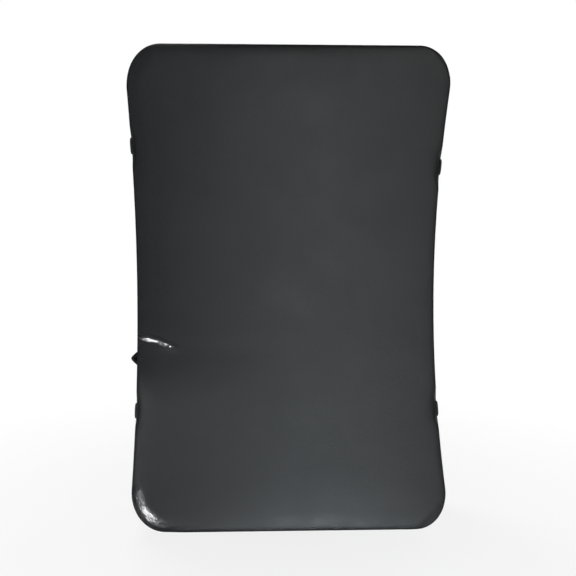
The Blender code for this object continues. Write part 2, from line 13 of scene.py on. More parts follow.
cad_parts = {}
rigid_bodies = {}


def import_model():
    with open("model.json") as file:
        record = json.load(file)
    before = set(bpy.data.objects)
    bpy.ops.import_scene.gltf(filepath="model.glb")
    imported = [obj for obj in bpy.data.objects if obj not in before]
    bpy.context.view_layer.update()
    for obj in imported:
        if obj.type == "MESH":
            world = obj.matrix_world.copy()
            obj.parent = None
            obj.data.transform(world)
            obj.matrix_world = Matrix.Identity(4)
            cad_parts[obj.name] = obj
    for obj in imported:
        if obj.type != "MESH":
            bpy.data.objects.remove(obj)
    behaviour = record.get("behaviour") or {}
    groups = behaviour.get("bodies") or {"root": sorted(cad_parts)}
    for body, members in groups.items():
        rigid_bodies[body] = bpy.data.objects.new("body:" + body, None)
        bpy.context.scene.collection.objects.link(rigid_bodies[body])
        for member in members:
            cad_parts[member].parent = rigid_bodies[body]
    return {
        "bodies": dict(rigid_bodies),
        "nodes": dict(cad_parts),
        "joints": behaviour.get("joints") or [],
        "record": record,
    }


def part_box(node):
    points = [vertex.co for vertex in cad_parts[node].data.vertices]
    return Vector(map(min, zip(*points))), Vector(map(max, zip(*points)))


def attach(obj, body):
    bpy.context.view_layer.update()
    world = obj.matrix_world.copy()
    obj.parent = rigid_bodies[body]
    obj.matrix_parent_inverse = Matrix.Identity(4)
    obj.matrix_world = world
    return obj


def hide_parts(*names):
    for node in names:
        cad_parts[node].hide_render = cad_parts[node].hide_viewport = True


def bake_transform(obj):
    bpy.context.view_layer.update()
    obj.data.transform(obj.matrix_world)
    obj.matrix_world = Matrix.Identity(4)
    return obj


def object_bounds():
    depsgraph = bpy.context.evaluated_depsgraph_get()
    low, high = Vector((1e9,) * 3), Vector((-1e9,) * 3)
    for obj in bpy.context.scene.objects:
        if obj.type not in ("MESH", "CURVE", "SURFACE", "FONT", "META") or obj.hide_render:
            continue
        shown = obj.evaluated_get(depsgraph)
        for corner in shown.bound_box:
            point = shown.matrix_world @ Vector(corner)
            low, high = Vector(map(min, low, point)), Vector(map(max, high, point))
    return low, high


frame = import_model()
CAD_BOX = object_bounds()

# Dimensions that the parts of the frame were built to
COVER = 0.002
GAP = 0.0003
WEBBING = 0.0022
PIPING_RADIUS = 0.002
CORNER_RADIUS = 0.0415
SEAM_DROP = 0.0055
FACE_HOLLOW = 0.064
PANEL_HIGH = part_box("front_panel")[1]
HALF_WIDTH = PANEL_HIGH.x
HALF_HEIGHT = PANEL_HIGH.z
BODY_DEPTH = SEAM_DROP + COVER - PANEL_HIGH.y
BEND_RADIUS = (HALF_HEIGHT ** 2 + FACE_HOLLOW ** 2) / (2 * FACE_HOLLOW)
BEND_CENTRE_Y = -BODY_DEPTH - BEND_RADIUS
SEAM_DEPTH = SEAM_DROP + COVER + GAP / 2
BACK_SEAM_DEPTH = BODY_DEPTH - SEAM_DEPTH
FACE_HALF_WIDTH = HALF_WIDTH + 2 * PIPING_RADIUS + GAP
LEATHER_THICKNESS = 0.0012
WEBBING_MIDDLE = GAP + WEBBING / 2

STRAP_WIDTH = 0.020
STRAPS = (("upper_strap", 0.1728, -0.0248), ("lower_strap", -0.1532, 0.0))  # name, height, rise
STRAP_CURL = 0.0009
STRAP_BOW = 0.046
BOW_REACH = 0.180
SLEEVE_LENGTH = 0.180
SLEEVE_WIDTH = 0.060
SLEEVE_THICKNESS = 0.014

GRIP_X = 0.070
GRIP_HALF_HEIGHT = 0.066
GRIP_AXIS_HEIGHT = 0.0066
GRIP_BOW = 0.0445
GRIP_WEBBING = (0.0125, 0.0044)
GRIP_TAB_WIDTH = 0.025
GRIP_SLEEVE_LENGTH = 0.096
GRIP_SLEEVE_RADIUS = 0.014
GRIP_TAB_START = 0.0688
GRIP_TAB_LENGTH = 0.038
GRIP_TAB_RISE = 0.012
GRIP_PATCH = 0.046

ZIP_HEIGHT = -0.245
ZIP_LENGTH = 0.280
ZIP_MOUTH = 0.0043
EYELET_HEIGHT = 0.045
LOOP_HEIGHT = -0.0863
LOOP_WIDTH = 0.020
LOOP_REACH = 0.0138
LOOP_OPENING = 0.0108
LOOP_TAB = 0.011
LOOP_FLATTEN = 0.6
LOOP_DEPTH = SEAM_DEPTH + PIPING_RADIUS + 0.003 + LOOP_WIDTH / 2

STITCH_LENGTH = 0.0032
STITCH_PITCH = 0.0042
STITCH_RADIUS = 0.00038

BODY = "shield"


# ---------------------------------------------------------------- the bend

def bent(x, depth, z):
    """A point of the flat design, moved onto the shield's bend."""
    return Vector((x, BEND_CENTRE_Y + math.sqrt((BEND_RADIUS + depth) ** 2 - z ** 2), z))


def square_to_bend(angle, depth):
    """Frame whose Y points out of the back and whose Z climbs the bend, at one angle and depth."""
    radius = BEND_RADIUS + depth
    place = Vector((0, BEND_CENTRE_Y + radius * math.cos(angle), radius * math.sin(angle)))
    return Matrix.Translation(place) @ Matrix.Rotation(angle, 4, "X")


def smooth_step(value, low, high):
    """0 below low, 1 above high, with a smooth rise between."""
    share = min(max((value - low) / (high - low), 0.0), 1.0)
    return share * share * (3 - 2 * share)


def ripple(*place, scale=1.0, seed=0.0):
    """Smooth noise from -1 to 1 at a place, with scale features to the metre."""
    spot = Vector([value * scale for value in place] + [0.0] * (3 - len(place)))
    return noise.noise(spot + Vector((seed, seed * 0.37, -seed)))


# ---------------------------------------------------------------- materials

def set_inputs(node, **values):
    """Set a node's inputs; an underscore in a name stands for a space."""
    for name, value in values.items():
        node.inputs[name.replace("_", " ")].default_value = value


def make_material(name, colour, roughness, metallic=0.0, **shader_values):
    """A Principled material and its tree."""
    made = bpy.data.materials.new(name)
    made.use_nodes = True
    tree = made.node_tree
    shader = tree.nodes["Principled BSDF"]
    shader.inputs["Base Color"].default_value = (*colour, 1)
    shader.inputs["Roughness"].default_value = roughness
    shader.inputs["Metallic"].default_value = metallic
    set_inputs(shader, **shader_values)
    return made, tree, shader


def add(tree, kind, **settings):
    """Add a node and set its properties."""
    made = tree.nodes.new(kind)
    for name, value in settings.items():
        setattr(made, name, value)
    return made


def object_place(tree):
    """Coordinates in the object's own metres."""
    return add(tree, "ShaderNodeTexCoord").outputs["Object"]


def noise_node(tree, place, scale, detail=2.0, roughness=0.5, distortion=0.0):
    """Noise with scale features to the metre; returns its 0 to 1 output."""
    made = add(tree, "ShaderNodeTexNoise")
    set_inputs(made, Scale=scale, Detail=detail, Roughness=roughness, Distortion=distortion)
    tree.links.new(place, made.inputs["Vector"])
    return made.outputs["Fac"]


def cell_node(tree, place, scale, feature="F1"):
    """Voronoi cells with scale cells to the metre; returns the distance."""
    made = add(tree, "ShaderNodeTexVoronoi", feature=feature)
    set_inputs(made, Scale=scale)
    tree.links.new(place, made.inputs["Vector"])
    return made.outputs["Distance"]


def remap(tree, value, low, high, new_low, new_high):
    """Map a range of values onto another, clamped."""
    made = add(tree, "ShaderNodeMapRange")
    for index, number in enumerate((low, high, new_low, new_high), start=1):
        made.inputs[index].default_value = number
    tree.links.new(value, made.inputs[0])
    return made.outputs[0]


def blend_colours(tree, factor, first, second):
    """Mix two colours, or a colour and a socket, by a factor socket."""
    made = add(tree, "ShaderNodeMix", data_type="RGBA")
    tree.links.new(factor, made.inputs[0])
    for index, colour in ((6, first), (7, second)):
        if isinstance(colour, tuple):
            made.inputs[index].default_value = (*colour, 1)
        else:
            tree.links.new(colour, made.inputs[index])
    return made.outputs[2]


def calculate(tree, operation, first, second):
    """Arithmetic on sockets or numbers."""
    made = add(tree, "ShaderNodeMath", operation=operation)
    for index, value in enumerate((first, second)):
        if isinstance(value, (int, float)):
            made.inputs[index].default_value = value
        else:
            tree.links.new(value, made.inputs[index])
    return made.outputs[0]


def bump(tree, shader, height, distance, strength=1.0, before=None):
    """Bump the shading by a height socket that is distance metres from 0 to 1."""
    made = add(tree, "ShaderNodeBump")
    set_inputs(made, Strength=strength, Distance=distance)
    tree.links.new(height, made.inputs["Height"])
    if before is not None:
        tree.links.new(before, made.inputs["Normal"])
    tree.links.new(made.outputs["Normal"], shader.inputs["Normal"])
    return made.outputs["Normal"]


def leather(name, colour, tint, roughness, grain=950.0, relief=0.00012):
    """Synthetic leather: pebbled grain, pores, faint mottling, dull patches and a scuffed rim."""
    made, tree, shader = make_material(name, colour, roughness)
    place = object_place(tree)
    mottling = noise_node(tree, place, 9.0, detail=4.0, roughness=0.6)
    specks = noise_node(tree, place, 420.0, detail=3.0)
    rim = add(tree, "ShaderNodeAttribute", attribute_name="wear").outputs["Fac"]
    base = blend_colours(tree, remap(tree, mottling, 0.3, 0.7, 0.0, 1.0), colour, tint)
    worn = tuple(min(1.0, 1.6 * channel + 0.006) for channel in tint)
    scuffs = remap(tree, noise_node(tree, place, 60.0, detail=6.0, roughness=0.7), 0.56, 0.74, 0.0, 1.0)
    base = blend_colours(tree, calculate(tree, "MULTIPLY", scuffs, rim), base, worn)
    dulled = tuple(0.78 * channel for channel in colour)
    base = blend_colours(tree, remap(tree, specks, 0.55, 0.8, 0.0, 0.55), base, dulled)
    tree.links.new(base, shader.inputs["Base Color"])
    patches = noise_node(tree, place, 26.0, detail=5.0, roughness=0.65)
    uneven = remap(tree, patches, 0.3, 0.7, roughness - 0.05, roughness + 0.06)
    fine = remap(tree, specks, 0.3, 0.7, -0.04, 0.04)
    tree.links.new(calculate(tree, "ADD", uneven, fine), shader.inputs["Roughness"])
    pebbles = cell_node(tree, place, grain, feature="SMOOTH_F1")
    creases = noise_node(tree, place, grain * 0.32, detail=3.0, roughness=0.6)
    relief_height = calculate(tree, "ADD", pebbles, calculate(tree, "MULTIPLY", creases, 0.8))
    first = bump(tree, shader, relief_height, relief)
    soft = noise_node(tree, place, 55.0, detail=3.0)
    bump(tree, shader, soft, relief * 3.0, 0.5, before=first)
    return made


LACQUER_ROUGHNESS = 0.20
LACQUER_IOR = 2.1


def polish_leather(leather_material):
    """Where the leather is rubbed it shines as if lacquered, in specks where the shine thins out."""
    tree = leather_material.node_tree
    shader = tree.nodes["Principled BSDF"]
    set_inputs(shader, Coat_Roughness=LACQUER_ROUGHNESS, Coat_IOR=LACQUER_IOR)
    place = object_place(tree)
    rubbed = add(tree, "ShaderNodeAttribute", attribute_name="polish").outputs["Fac"]
    grit = noise_node(tree, place, 370.0, roughness=0.7)
    specks = calculate(tree, "ADD", rubbed, calculate(tree, "MULTIPLY", grit, 2.2))
    tree.links.new(remap(tree, specks, 1.90, 2.06, 0.0, 1.0), shader.inputs["Coat Weight"])
    uneven = add(tree, "ShaderNodeBump")
    set_inputs(uneven, Strength=1.0, Distance=0.00035)
    tree.links.new(grit, uneven.inputs["Height"])
    tree.links.new(uneven.outputs["Normal"], shader.inputs["Coat Normal"])


def woven(name, colour, tint, thread=0.0011, relief=0.00025):
    """Webbing: ribs of thread that run in chevrons across the strip's own coordinates, with painted shade
    in the grooves between them.
    """
    made, tree, shader = make_material(name, colour, 0.8, Sheen_Weight=0.25, Sheen_Roughness=0.4)
    strip = add(tree, "ShaderNodeUVMap", uv_map="strip").outputs["UV"]
    split = add(tree, "ShaderNodeSeparateXYZ")
    tree.links.new(strip, split.inputs[0])
    along, across = split.outputs["X"], split.outputs["Y"]
    fold = calculate(tree, "PINGPONG", across, thread * 5.5)
    slant = calculate(tree, "ADD", along, calculate(tree, "MULTIPLY", fold, 0.9))
    picks = calculate(tree, "SINE", calculate(tree, "MULTIPLY", slant, math.tau / (thread * 1.6)), 0.0)
    ends = calculate(tree, "SINE", calculate(tree, "MULTIPLY", across, math.tau / thread), 0.0)
    weave = calculate(tree, "ADD", calculate(tree, "MULTIPLY", picks, 0.30), 0.5)
    weave = calculate(tree, "ADD", weave, calculate(tree, "MULTIPLY", ends, 0.20))
    place = object_place(tree)
    fuzz = noise_node(tree, place, 2600.0)
    dust = noise_node(tree, place, 30.0, detail=5.0, roughness=0.7)
    lint = calculate(tree, "MULTIPLY", dust, 0.4)
    # painted shade: the base colour darkens in the grooves between the ribs; the lint lightens it as real
    # dust
    shade = calculate(tree, "ADD", calculate(tree, "MULTIPLY", weave, 0.6), lint)
    base = blend_colours(tree, remap(tree, shade, 0.25, 0.75, 0.0, 1.0), colour, tint)
    tree.links.new(base, shader.inputs["Base Color"])
    tree.links.new(remap(tree, fuzz, 0.3, 0.7, 0.7, 0.9), shader.inputs["Roughness"])
    first = bump(tree, shader, weave, relief)
    bump(tree, shader, fuzz, relief * 0.3, 0.6, before=first)
    return made


def foam(name, colour, tint, cell):
    """Foam: open or closed cells, each a small pit darkened towards its middle with painted shade."""
    made, tree, shader = make_material(name, colour, 0.92)
    place = object_place(tree)
    cells = cell_node(tree, place, 1.0 / cell)
    clouds = noise_node(tree, place, 20.0, detail=4.0)
    base = blend_colours(tree, remap(tree, clouds, 0.3, 0.7, 0.0, 1.0), colour, tint)
    # painted shade: the colour darkens towards each cell's middle, where the bump sinks into a pit
    painted_pit_shade = tuple(0.6 * channel for channel in colour)
    base = blend_colours(tree, remap(tree, cells, 0.0, 0.35, 0.7, 0.0), base, painted_pit_shade)
    tree.links.new(base, shader.inputs["Base Color"])
    bump(tree, shader, cells, cell * 0.5)
    return made


def metal(name, colour, roughness):
    """Plated steel with fine scratches and dulled patches."""
    made, tree, shader = make_material(name, colour, roughness, metallic=1.0)
    place = object_place(tree)
    haze = noise_node(tree, place, 300.0, detail=4.0, roughness=0.65)
    scratches = noise_node(tree, place, 2500.0, detail=1.0, distortion=1.5)
    dull = tuple(0.6 * channel for channel in colour)
    tree.links.new(blend_colours(tree, haze, colour, dull), shader.inputs["Base Color"])
    dulling = remap(tree, haze, 0.3, 0.7, roughness - 0.08, roughness + 0.15)
    tree.links.new(dulling, shader.inputs["Roughness"])
    bump(tree, shader, scratches, 0.00003, 0.5)
    return made


def thread_material(name, colour):
    """Twisted polyester thread with a slight lustre."""
    made, tree, shader = make_material(name, colour, 0.55, Sheen_Weight=0.3)
    place = object_place(tree)
    twist = noise_node(tree, place, 3000.0, detail=1.0)
    lighter = tuple(min(1.0, 1.8 * channel) for channel in colour)
    tree.links.new(blend_colours(tree, twist, colour, lighter), shader.inputs["Base Color"])
    bump(tree, shader, twist, 0.00008)
    return made


def nylon(name, colour):
    """Moulded nylon of the zip's teeth."""
    made, tree, shader = make_material(name, colour, 0.42)
    place = object_place(tree)
    cloud = noise_node(tree, place, 500.0, detail=3.0)
    lighter = tuple(1.7 * channel for channel in colour)
    tree.links.new(blend_colours(tree, cloud, colour, lighter), shader.inputs["Base Color"])
    tree.links.new(remap(tree, cloud, 0.3, 0.7, 0.34, 0.52), shader.inputs["Roughness"])
    bump(tree, shader, cloud, 0.00004, 0.6)
    return made


FACE_LEATHER = leather("face_leather", (0.015, 0.0153, 0.0163), (0.019, 0.0195, 0.021), 0.47)
polish_leather(FACE_LEATHER)
BACK_LEATHER = leather("back_leather", (0.021, 0.0213, 0.022), (0.027, 0.0272, 0.028), 0.50)
WALL_LEATHER = leather("wall_leather", (0.017, 0.0173, 0.018), (0.023, 0.0232, 0.024), 0.48)
PAD_LEATHER = leather("pad_leather", (0.019, 0.0192, 0.020), (0.026, 0.0262, 0.027), 0.44, grain=1100.0)
PIPING_VINYL = leather("piping_vinyl", (0.012, 0.012, 0.013), (0.017, 0.017, 0.018), 0.38, relief=0.00005)
STRAP_WEBBING = woven("strap_webbing", (0.010, 0.010, 0.011), (0.026, 0.026, 0.028))
THREAD = thread_material("thread", (0.030, 0.030, 0.032))
FIRM_FOAM = foam("firm_foam", (0.10, 0.10, 0.11), (0.13, 0.13, 0.14), 0.0009)
SOFT_FOAM = foam("soft_foam", (0.62, 0.58, 0.42), (0.68, 0.65, 0.50), 0.0014)
DARK_STEEL = metal("dark_steel", (0.20, 0.20, 0.21), 0.30)
ZIP_NYLON = nylon("zip_nylon", (0.016, 0.016, 0.017))
ZIP_TAPE = woven("zip_tape", (0.008, 0.008, 0.009), (0.020, 0.020, 0.022), thread=0.0006, relief=0.00012)


# ---------------------------------------------------------------- pieces and shapes

def piece(name, mesh, finish, body=BODY, nodes=()):
    """Put a mesh in the scene as a piece of the shield; a body of None leaves it for a blend."""
    mesh.name = name
    mesh.materials.clear()
    mesh.materials.append(finish)
    made = bpy.data.objects.new(name, mesh)
    bpy.context.scene.collection.objects.link(made)
    if body is not None:
        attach(made, body)
    if nodes:
        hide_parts(*nodes)
    return made


def smooth_mesh(work, sharp_angle=60.0):
    """Turn a bmesh into a smooth-shaded mesh."""
    mesh = bpy.data.meshes.new("mesh")
    work.to_mesh(mesh)
    work.free()
    mesh.shade_smooth()
    mesh.set_sharp_from_angle(angle=math.radians(sharp_angle))
    return mesh


def solidify(made):
    """Give a skin its thickness, inwards."""
    modifier = made.modifiers.new("thickness", "SOLIDIFY")
    modifier.thickness = LEATHER_THICKNESS
    modifier.offset = -1.0


def apply_modifiers(made):
    """Make the shape that an object's modifiers give it its own."""
    evaluated = made.evaluated_get(bpy.context.evaluated_depsgraph_get())
    mesh = bpy.data.meshes.new_from_object(evaluated)
    made.modifiers.clear()
    made.data = mesh


def face_outwards(work, away_from):
    """Turn an open skin's faces away from a point, judged by its largest face."""
    for face in work.faces:
        face.normal_update()
    largest = max(work.faces, key=lambda face: face.calc_area())
    if largest.normal.dot(largest.calc_center_median() - away_from) < 0:
        bmesh.ops.reverse_faces(work, faces=work.faces)


def spaced(low, high, step):
    """Evenly spaced numbers from low to high, about a step apart."""
    count = max(1, round((high - low) / step))
    return [low + (high - low) * index / count for index in range(count + 1)]


def bridge(work, rows, closed):
    """Add the faces between rows of points, each row closed on itself or open."""
    for here, ahead in zip(rows, rows[1:]):
        for index in range(len(here) if closed else len(here) - 1):
            after = (index + 1) % len(here)
            work.faces.new((here[index], ahead[index], ahead[after], here[after]))


def loft(rings, closed=False):
    """Bmesh through rings of points, closed on itself or with a cap at either end."""
    work = bmesh.new()
    loops = [[work.verts.new(point) for point in ring] for ring in rings]
    pairs = list(zip(loops, loops[1:])) + ([(loops[-1], loops[0])] if closed else [])
    for here, ahead in pairs:
        for index in range(len(here)):
            after = (index + 1) % len(here)
            work.faces.new((here[index], here[after], ahead[after], ahead[index]))
    if not closed:
        work.faces.new(reversed(loops[0]))
        work.faces.new(loops[-1])
    bmesh.ops.recalc_face_normals(work, faces=work.faces)
    return work


def smooth_path(points, step, rounds):
    """Resample a line and round its corners, with its ends held."""
    dense = [points[0]]
    for first, second in zip(points, points[1:]):
        count = max(1, round((second - first).length / step))
        dense += [first.lerp(second, index / count) for index in range(1, count + 1)]
    for _ in range(rounds):
        inner = [(a + 2 * b + c) / 4 for a, b, c in zip(dense, dense[1:], dense[2:])]
        dense = [dense[0], *inner, dense[-1]]
    return dense


class Strip:
    """The middle line of a flat band whose width lies along one direction."""

    def __init__(self, points, side, rounds, step=0.0015):
        self.points = smooth_path(points, step, rounds)
        self.side = side.normalized()
        self.reached = [0.0]
        for first, second in zip(self.points, self.points[1:]):
            self.reached.append(self.reached[-1] + (second - first).length)
        self.length = self.reached[-1]

    def direction(self, index):
        """Which way the line runs at one of its points."""
        ahead = self.points[min(index + 1, len(self.points) - 1)]
        return (ahead - self.points[max(index - 1, 0)]).normalized()

    def up(self, index):
        """Which way the band's face looks at one of its points."""
        return self.direction(index).cross(self.side).normalized()

    def place(self, along, across=0.0, lift=0.0):
        """A point on the band, and the way its face looks there."""
        index = 0
        while index < len(self.points) - 2 and self.reached[index + 1] < along:
            index += 1
        share = (along - self.reached[index]) / (self.reached[index + 1] - self.reached[index])
        middle = self.points[index].lerp(self.points[index + 1], share)
        up = self.up(index).lerp(self.up(index + 1), share).normalized()
        return middle + self.side * across + up * lift, up

    def nearest(self, point):
        """How far along the line its nearest point to a place is."""
        index = min(range(len(self.points)), key=lambda i: (self.points[i] - point).length)
        return self.reached[index]


BAND_SECTION = [(-1.0, 0.3), (-0.975, 0.8), (-0.90, 1.0), (-0.6, 1.0), (-0.3, 1.0), (0.0, 1.0)]
BAND_SECTION += [(-across, up) for across, up in reversed(BAND_SECTION[:-1])]
BAND_SECTION += [(across, -up) for across, up in reversed(BAND_SECTION)]


def band(strip, width, thickness, seed, curl=0.0):
    """Webbing along a strip; width and thickness are numbers or functions of the line's points."""
    width_at = width if callable(width) else lambda point: width
    thickness_at = thickness if callable(thickness) else lambda point: thickness
    rings, places = [], []
    for index, middle in enumerate(strip.points):
        up, along = strip.up(index), strip.reached[index]
        half_width = width_at(middle) / 2 + 0.00018 * ripple(along, scale=160, seed=seed)
        half_thickness = thickness_at(middle) / 2
        ring = []
        for across, rise in BAND_SECTION:
            height = rise * half_thickness - curl * across ** 4
            offset = strip.side * across * half_width + up * height
            ring.append(middle + offset)
            places.append((along, across * half_width))
        rings.append(ring)
    work = loft(rings)
    work.verts.index_update()
    layer = work.loops.layers.uv.new("strip")
    for face in work.faces:
        for corner in face.loops:
            corner[layer].uv = places[corner.vert.index]
    return smooth_mesh(work)


def unit_sphere(sides, rings):
    """Points and faces of a sphere of radius 1 with its poles along Z, always in the same order."""
    turns = [math.tau * side / sides for side in range(sides)]
    points = [(0, 0, 1)]
    for fall in (math.pi * ring / rings for ring in range(1, rings)):
        radius, height = math.sin(fall), math.cos(fall)
        points += [(radius * math.sin(turn), radius * math.cos(turn), height) for turn in turns]
    points.append((0, 0, -1))
    last = len(points) - 1
    faces = []
    for side in range(sides):
        after = (side + 1) % sides
        faces.append((0, 1 + after, 1 + side))
        for upper in range(1, last - sides, sides):
            lower = upper + sides
            faces.append((lower + side, upper + side, upper + after, lower + after))
        faces.append((last, last - sides + side, last - sides + after))
    return points, faces


def grains_mesh(grains, sides=6, rings=5):
    """Mesh of many long rounded grains: (centre, direction, length, radius) of each."""
    shape, corners = unit_sphere(sides, rings)
    points, faces = [], []
    for centre, along, length, radius in grains:
        turn = along.to_track_quat("Z", "Y").to_matrix()
        first = len(points)
        points += [centre + turn @ Vector((x * radius, y * radius, z * length / 2)) for x, y, z in shape]
        faces += [[first + corner for corner in face] for face in corners]
    mesh = bpy.data.meshes.new("grains")
    mesh.from_pydata(points, [], faces)
    mesh.shade_smooth()
    return mesh


def sew(stitches, place_at, length):
    """Add a row of stitches to a list; place_at gives a point and its up for a length along it."""
    count = max(1, int(length / STITCH_PITCH))
    start = (length - (count - 1) * STITCH_PITCH) / 2
    for index in range(count):
        along = start + index * STITCH_PITCH
        before, _ = place_at(max(0.0, along - STITCH_LENGTH / 2))
        after, _ = place_at(min(length, along + STITCH_LENGTH / 2))
        middle, up = place_at(along)
        lean = 0.00012 * ripple(along, scale=700, seed=length)
        side = (after - before).cross(up).normalized()
        centre = middle + up * STITCH_RADIUS * 0.45 + side * lean
        stitches.append((centre, after - before, STITCH_LENGTH, STITCH_RADIUS))


def sew_between(stitches, first, second, surface):
    """Sew a straight row between two (u, v) places of a surface that gives a point and its up."""
    span = math.dist(first, second)

    def place_at(along):
        share = along / span
        return surface(*(a + (b - a) * share for a, b in zip(first, second)))

    sew(stitches, place_at, span)


def sew_box(stitches, low, high, surface, crossed=True):
    """Sew a rectangle between two (u, v) corners, with a cross in it."""
    corners = [(low[0], low[1]), (high[0], low[1]), (high[0], high[1]), (low[0], high[1])]
    for first, second in zip(corners, corners[1:] + corners[:1]):
        sew_between(stitches, first, second, surface)
    if crossed:
        sew_between(stitches, corners[0], corners[2], surface)
        sew_between(stitches, corners[1], corners[3], surface)


SIMULATED_FRAMES = 20
CLOTH_PRESSURE = 4.0
CLOTH_SETTINGS = {
    "vertex_group_mass": "held",
    "use_pressure": True,
    "uniform_pressure_force": CLOTH_PRESSURE,
    "quality": 6,
    "mass": 0.25,
    "tension_stiffness": 20,
    "compression_stiffness": 20,
    "shear_stiffness": 8,
    "bending_stiffness": 0.8,
}


def inflate(work, pinned, most):
    """Swell a closed form as cloth with some of its points held, none moving further than most."""
    work.verts.index_update()
    held = [vertex.index for vertex in pinned]
    mesh = smooth_mesh(work, 180)
    carrier = bpy.data.objects.new("cloth", mesh)
    bpy.context.scene.collection.objects.link(carrier)
    carrier.vertex_groups.new(name="held").add(held, 1.0, "REPLACE")
    cloth = carrier.modifiers.new("cloth", "CLOTH")
    for name, value in CLOTH_SETTINGS.items():
        setattr(cloth.settings, name, value)
    cloth.settings.effector_weights.gravity = 0.0
    cloth.point_cache.frame_end = SIMULATED_FRAMES
    for number in range(1, SIMULATED_FRAMES + 1):
        bpy.context.scene.frame_set(number)
    evaluated = carrier.evaluated_get(bpy.context.evaluated_depsgraph_get())
    swollen = [vertex.co.copy() for vertex in evaluated.data.vertices]
    bpy.context.scene.frame_set(1)
    for vertex, place in zip(mesh.vertices, swollen):
        move = place - vertex.co
        vertex.co += move * min(1.0, most / max(move.length, 1e-9))
    bpy.data.objects.remove(carrier)
    return mesh


def subdivide(made):
    """Smooth a piece by subdivision."""
    modifier = made.modifiers.new("subdivision", "SUBSURF")
    modifier.levels = modifier.render_levels = 1


# ---------------------------------------------------------------- rounded sheets

class RoundedSheet:
    """A flat sheet in x and z with rounded corners, gridded in rings near its edge."""

    def __init__(self, half_width, half_height, corner, corner_steps, rings):
        self.half_width, self.half_height, self.corner = half_width, half_height, corner
        self.straight_x, self.straight_z = half_width - corner, half_height - corner
        self.corner_steps = corner_steps
        self.rings = rings

    def edge_distance(self, x, z):
        """Distance of a point inside the sheet from its edge."""
        beyond_x, beyond_z = abs(x) - self.straight_x, abs(z) - self.straight_z
        outside = math.hypot(max(beyond_x, 0), max(beyond_z, 0))
        return self.corner - outside - min(max(beyond_x, beyond_z), 0)

    def outwards(self, x, z):
        """Way from a point towards the nearest part of the edge."""
        beyond_x, beyond_z = abs(x) - self.straight_x, abs(z) - self.straight_z
        if beyond_x > 0 and beyond_z > 0:
            reach = math.hypot(beyond_x, beyond_z)
            return math.copysign(beyond_x / reach, x), math.copysign(beyond_z / reach, z)
        if beyond_x > beyond_z:
            return math.copysign(1.0, x), 0.0
        return 0.0, math.copysign(1.0, z)

    def outline(self, columns, rows):
        """Points round the sheet with their outward directions: (x, z, out_x, out_z)."""
        sides = [
            [(self.half_width, z, 1, 0) for z in rows],
            [(x, self.half_height, 0, 1) for x in reversed(columns)],
            [(-self.half_width, z, -1, 0) for z in reversed(rows)],
            [(x, -self.half_height, 0, -1) for x in columns],
        ]
        centres = ((1, 1), (-1, 1), (-1, -1), (1, -1))
        points = []
        for quarter, (side, (sign_x, sign_z)) in enumerate(zip(sides, centres)):
            points += side
            for step in range(1, self.corner_steps):
                angle = math.pi / 2 * (quarter + step / self.corner_steps)
                out_x, out_z = math.cos(angle), math.sin(angle)
                x = sign_x * self.straight_x + self.corner * out_x
                z = sign_z * self.straight_z + self.corner * out_z
                points.append((x, z, out_x, out_z))
        return points

    def grid(self, step, extra_rows=()):
        """Flat bmesh over the sheet, with y at 0 and its lines about a step apart."""
        columns = spaced(-self.straight_x, self.straight_x, step)
        rows = sorted(set(spaced(-self.straight_z, self.straight_z, step)) | set(extra_rows))
        work = bmesh.new()
        points = self.outline(columns, rows)
        rings = []
        for distance in self.rings + [self.corner]:
            ring = [work.verts.new((x - a * distance, 0, z - b * distance)) for x, z, a, b in points]
            rings.append(ring)
        bridge(work, rings, closed=True)
        middle = [[work.verts.new((x, 0, z)) for x in columns] for z in rows]
        bridge(work, middle, closed=False)
        bmesh.ops.remove_doubles(work, verts=work.verts, dist=0.00001)
        return work


COVER_RINGS = [0.0, 0.0007, 0.0016, 0.0028, 0.0042, 0.0058, 0.0076, 0.0096, 0.0118, 0.0142, 0.0168,
               0.0200, 0.0235, 0.0275, 0.0320, 0.0370]
COVER_SHEET = RoundedSheet(HALF_WIDTH, HALF_HEIGHT, CORNER_RADIUS, 16, COVER_RINGS)
FACE_RINGS = COVER_RINGS[:8] + spaced(0.0112, 0.0400, 0.0016)
FACE_SHEET = RoundedSheet(HALF_WIDTH, HALF_HEIGHT, CORNER_RADIUS, 22, FACE_RINGS)
FACE_STEP = 0.0042


def seam_place(x, z):
    """Distance along the nearest side, for what varies along a seam."""
    beyond_x, beyond_z = abs(x) - COVER_SHEET.straight_x, abs(z) - COVER_SHEET.straight_z
    if beyond_x > 0 and beyond_z > 0:
        arc = CORNER_RADIUS * math.atan2(beyond_z, beyond_x)
        return math.copysign(3, x) + math.copysign(COVER_SHEET.straight_z + arc, z)
    if beyond_x > beyond_z:
        return math.copysign(3, x) + z
    return math.copysign(7, z) + x


ROLL_WIDTH = 0.020
ROLL_BULGE = 0.0028
ROLL_TURN = math.pi - math.asin(ROLL_WIDTH / (ROLL_WIDTH + ROLL_BULGE))
ROLL_DEPTH = SEAM_DROP / (1 - math.cos(ROLL_TURN))


def roll_turn(distance):
    """How far round the padded rim a point is: 0 at its start, ROLL_TURN at the seam."""
    return ROLL_TURN * (1 - min(max(distance, 0.0), ROLL_WIDTH) / ROLL_WIDTH)


def rim_roll(distance):
    """Drop of a padded face towards its seam."""
    return ROLL_DEPTH * (1 - math.cos(roll_turn(distance)))


def rolled_out(x, z):
    """Where a point of a face goes in x and z when the padding swells its rim over the seam."""
    distance = COVER_SHEET.edge_distance(x, z)
    if distance >= ROLL_WIDTH:
        return x, z
    out_x, out_z = COVER_SHEET.outwards(x, z)
    swollen = ROLL_WIDTH - (ROLL_WIDTH + ROLL_BULGE) * math.sin(roll_turn(distance))
    move = (distance - swollen) * (1 - 0.5 * strapped(x, z))
    return x + out_x * move, z + out_z * move


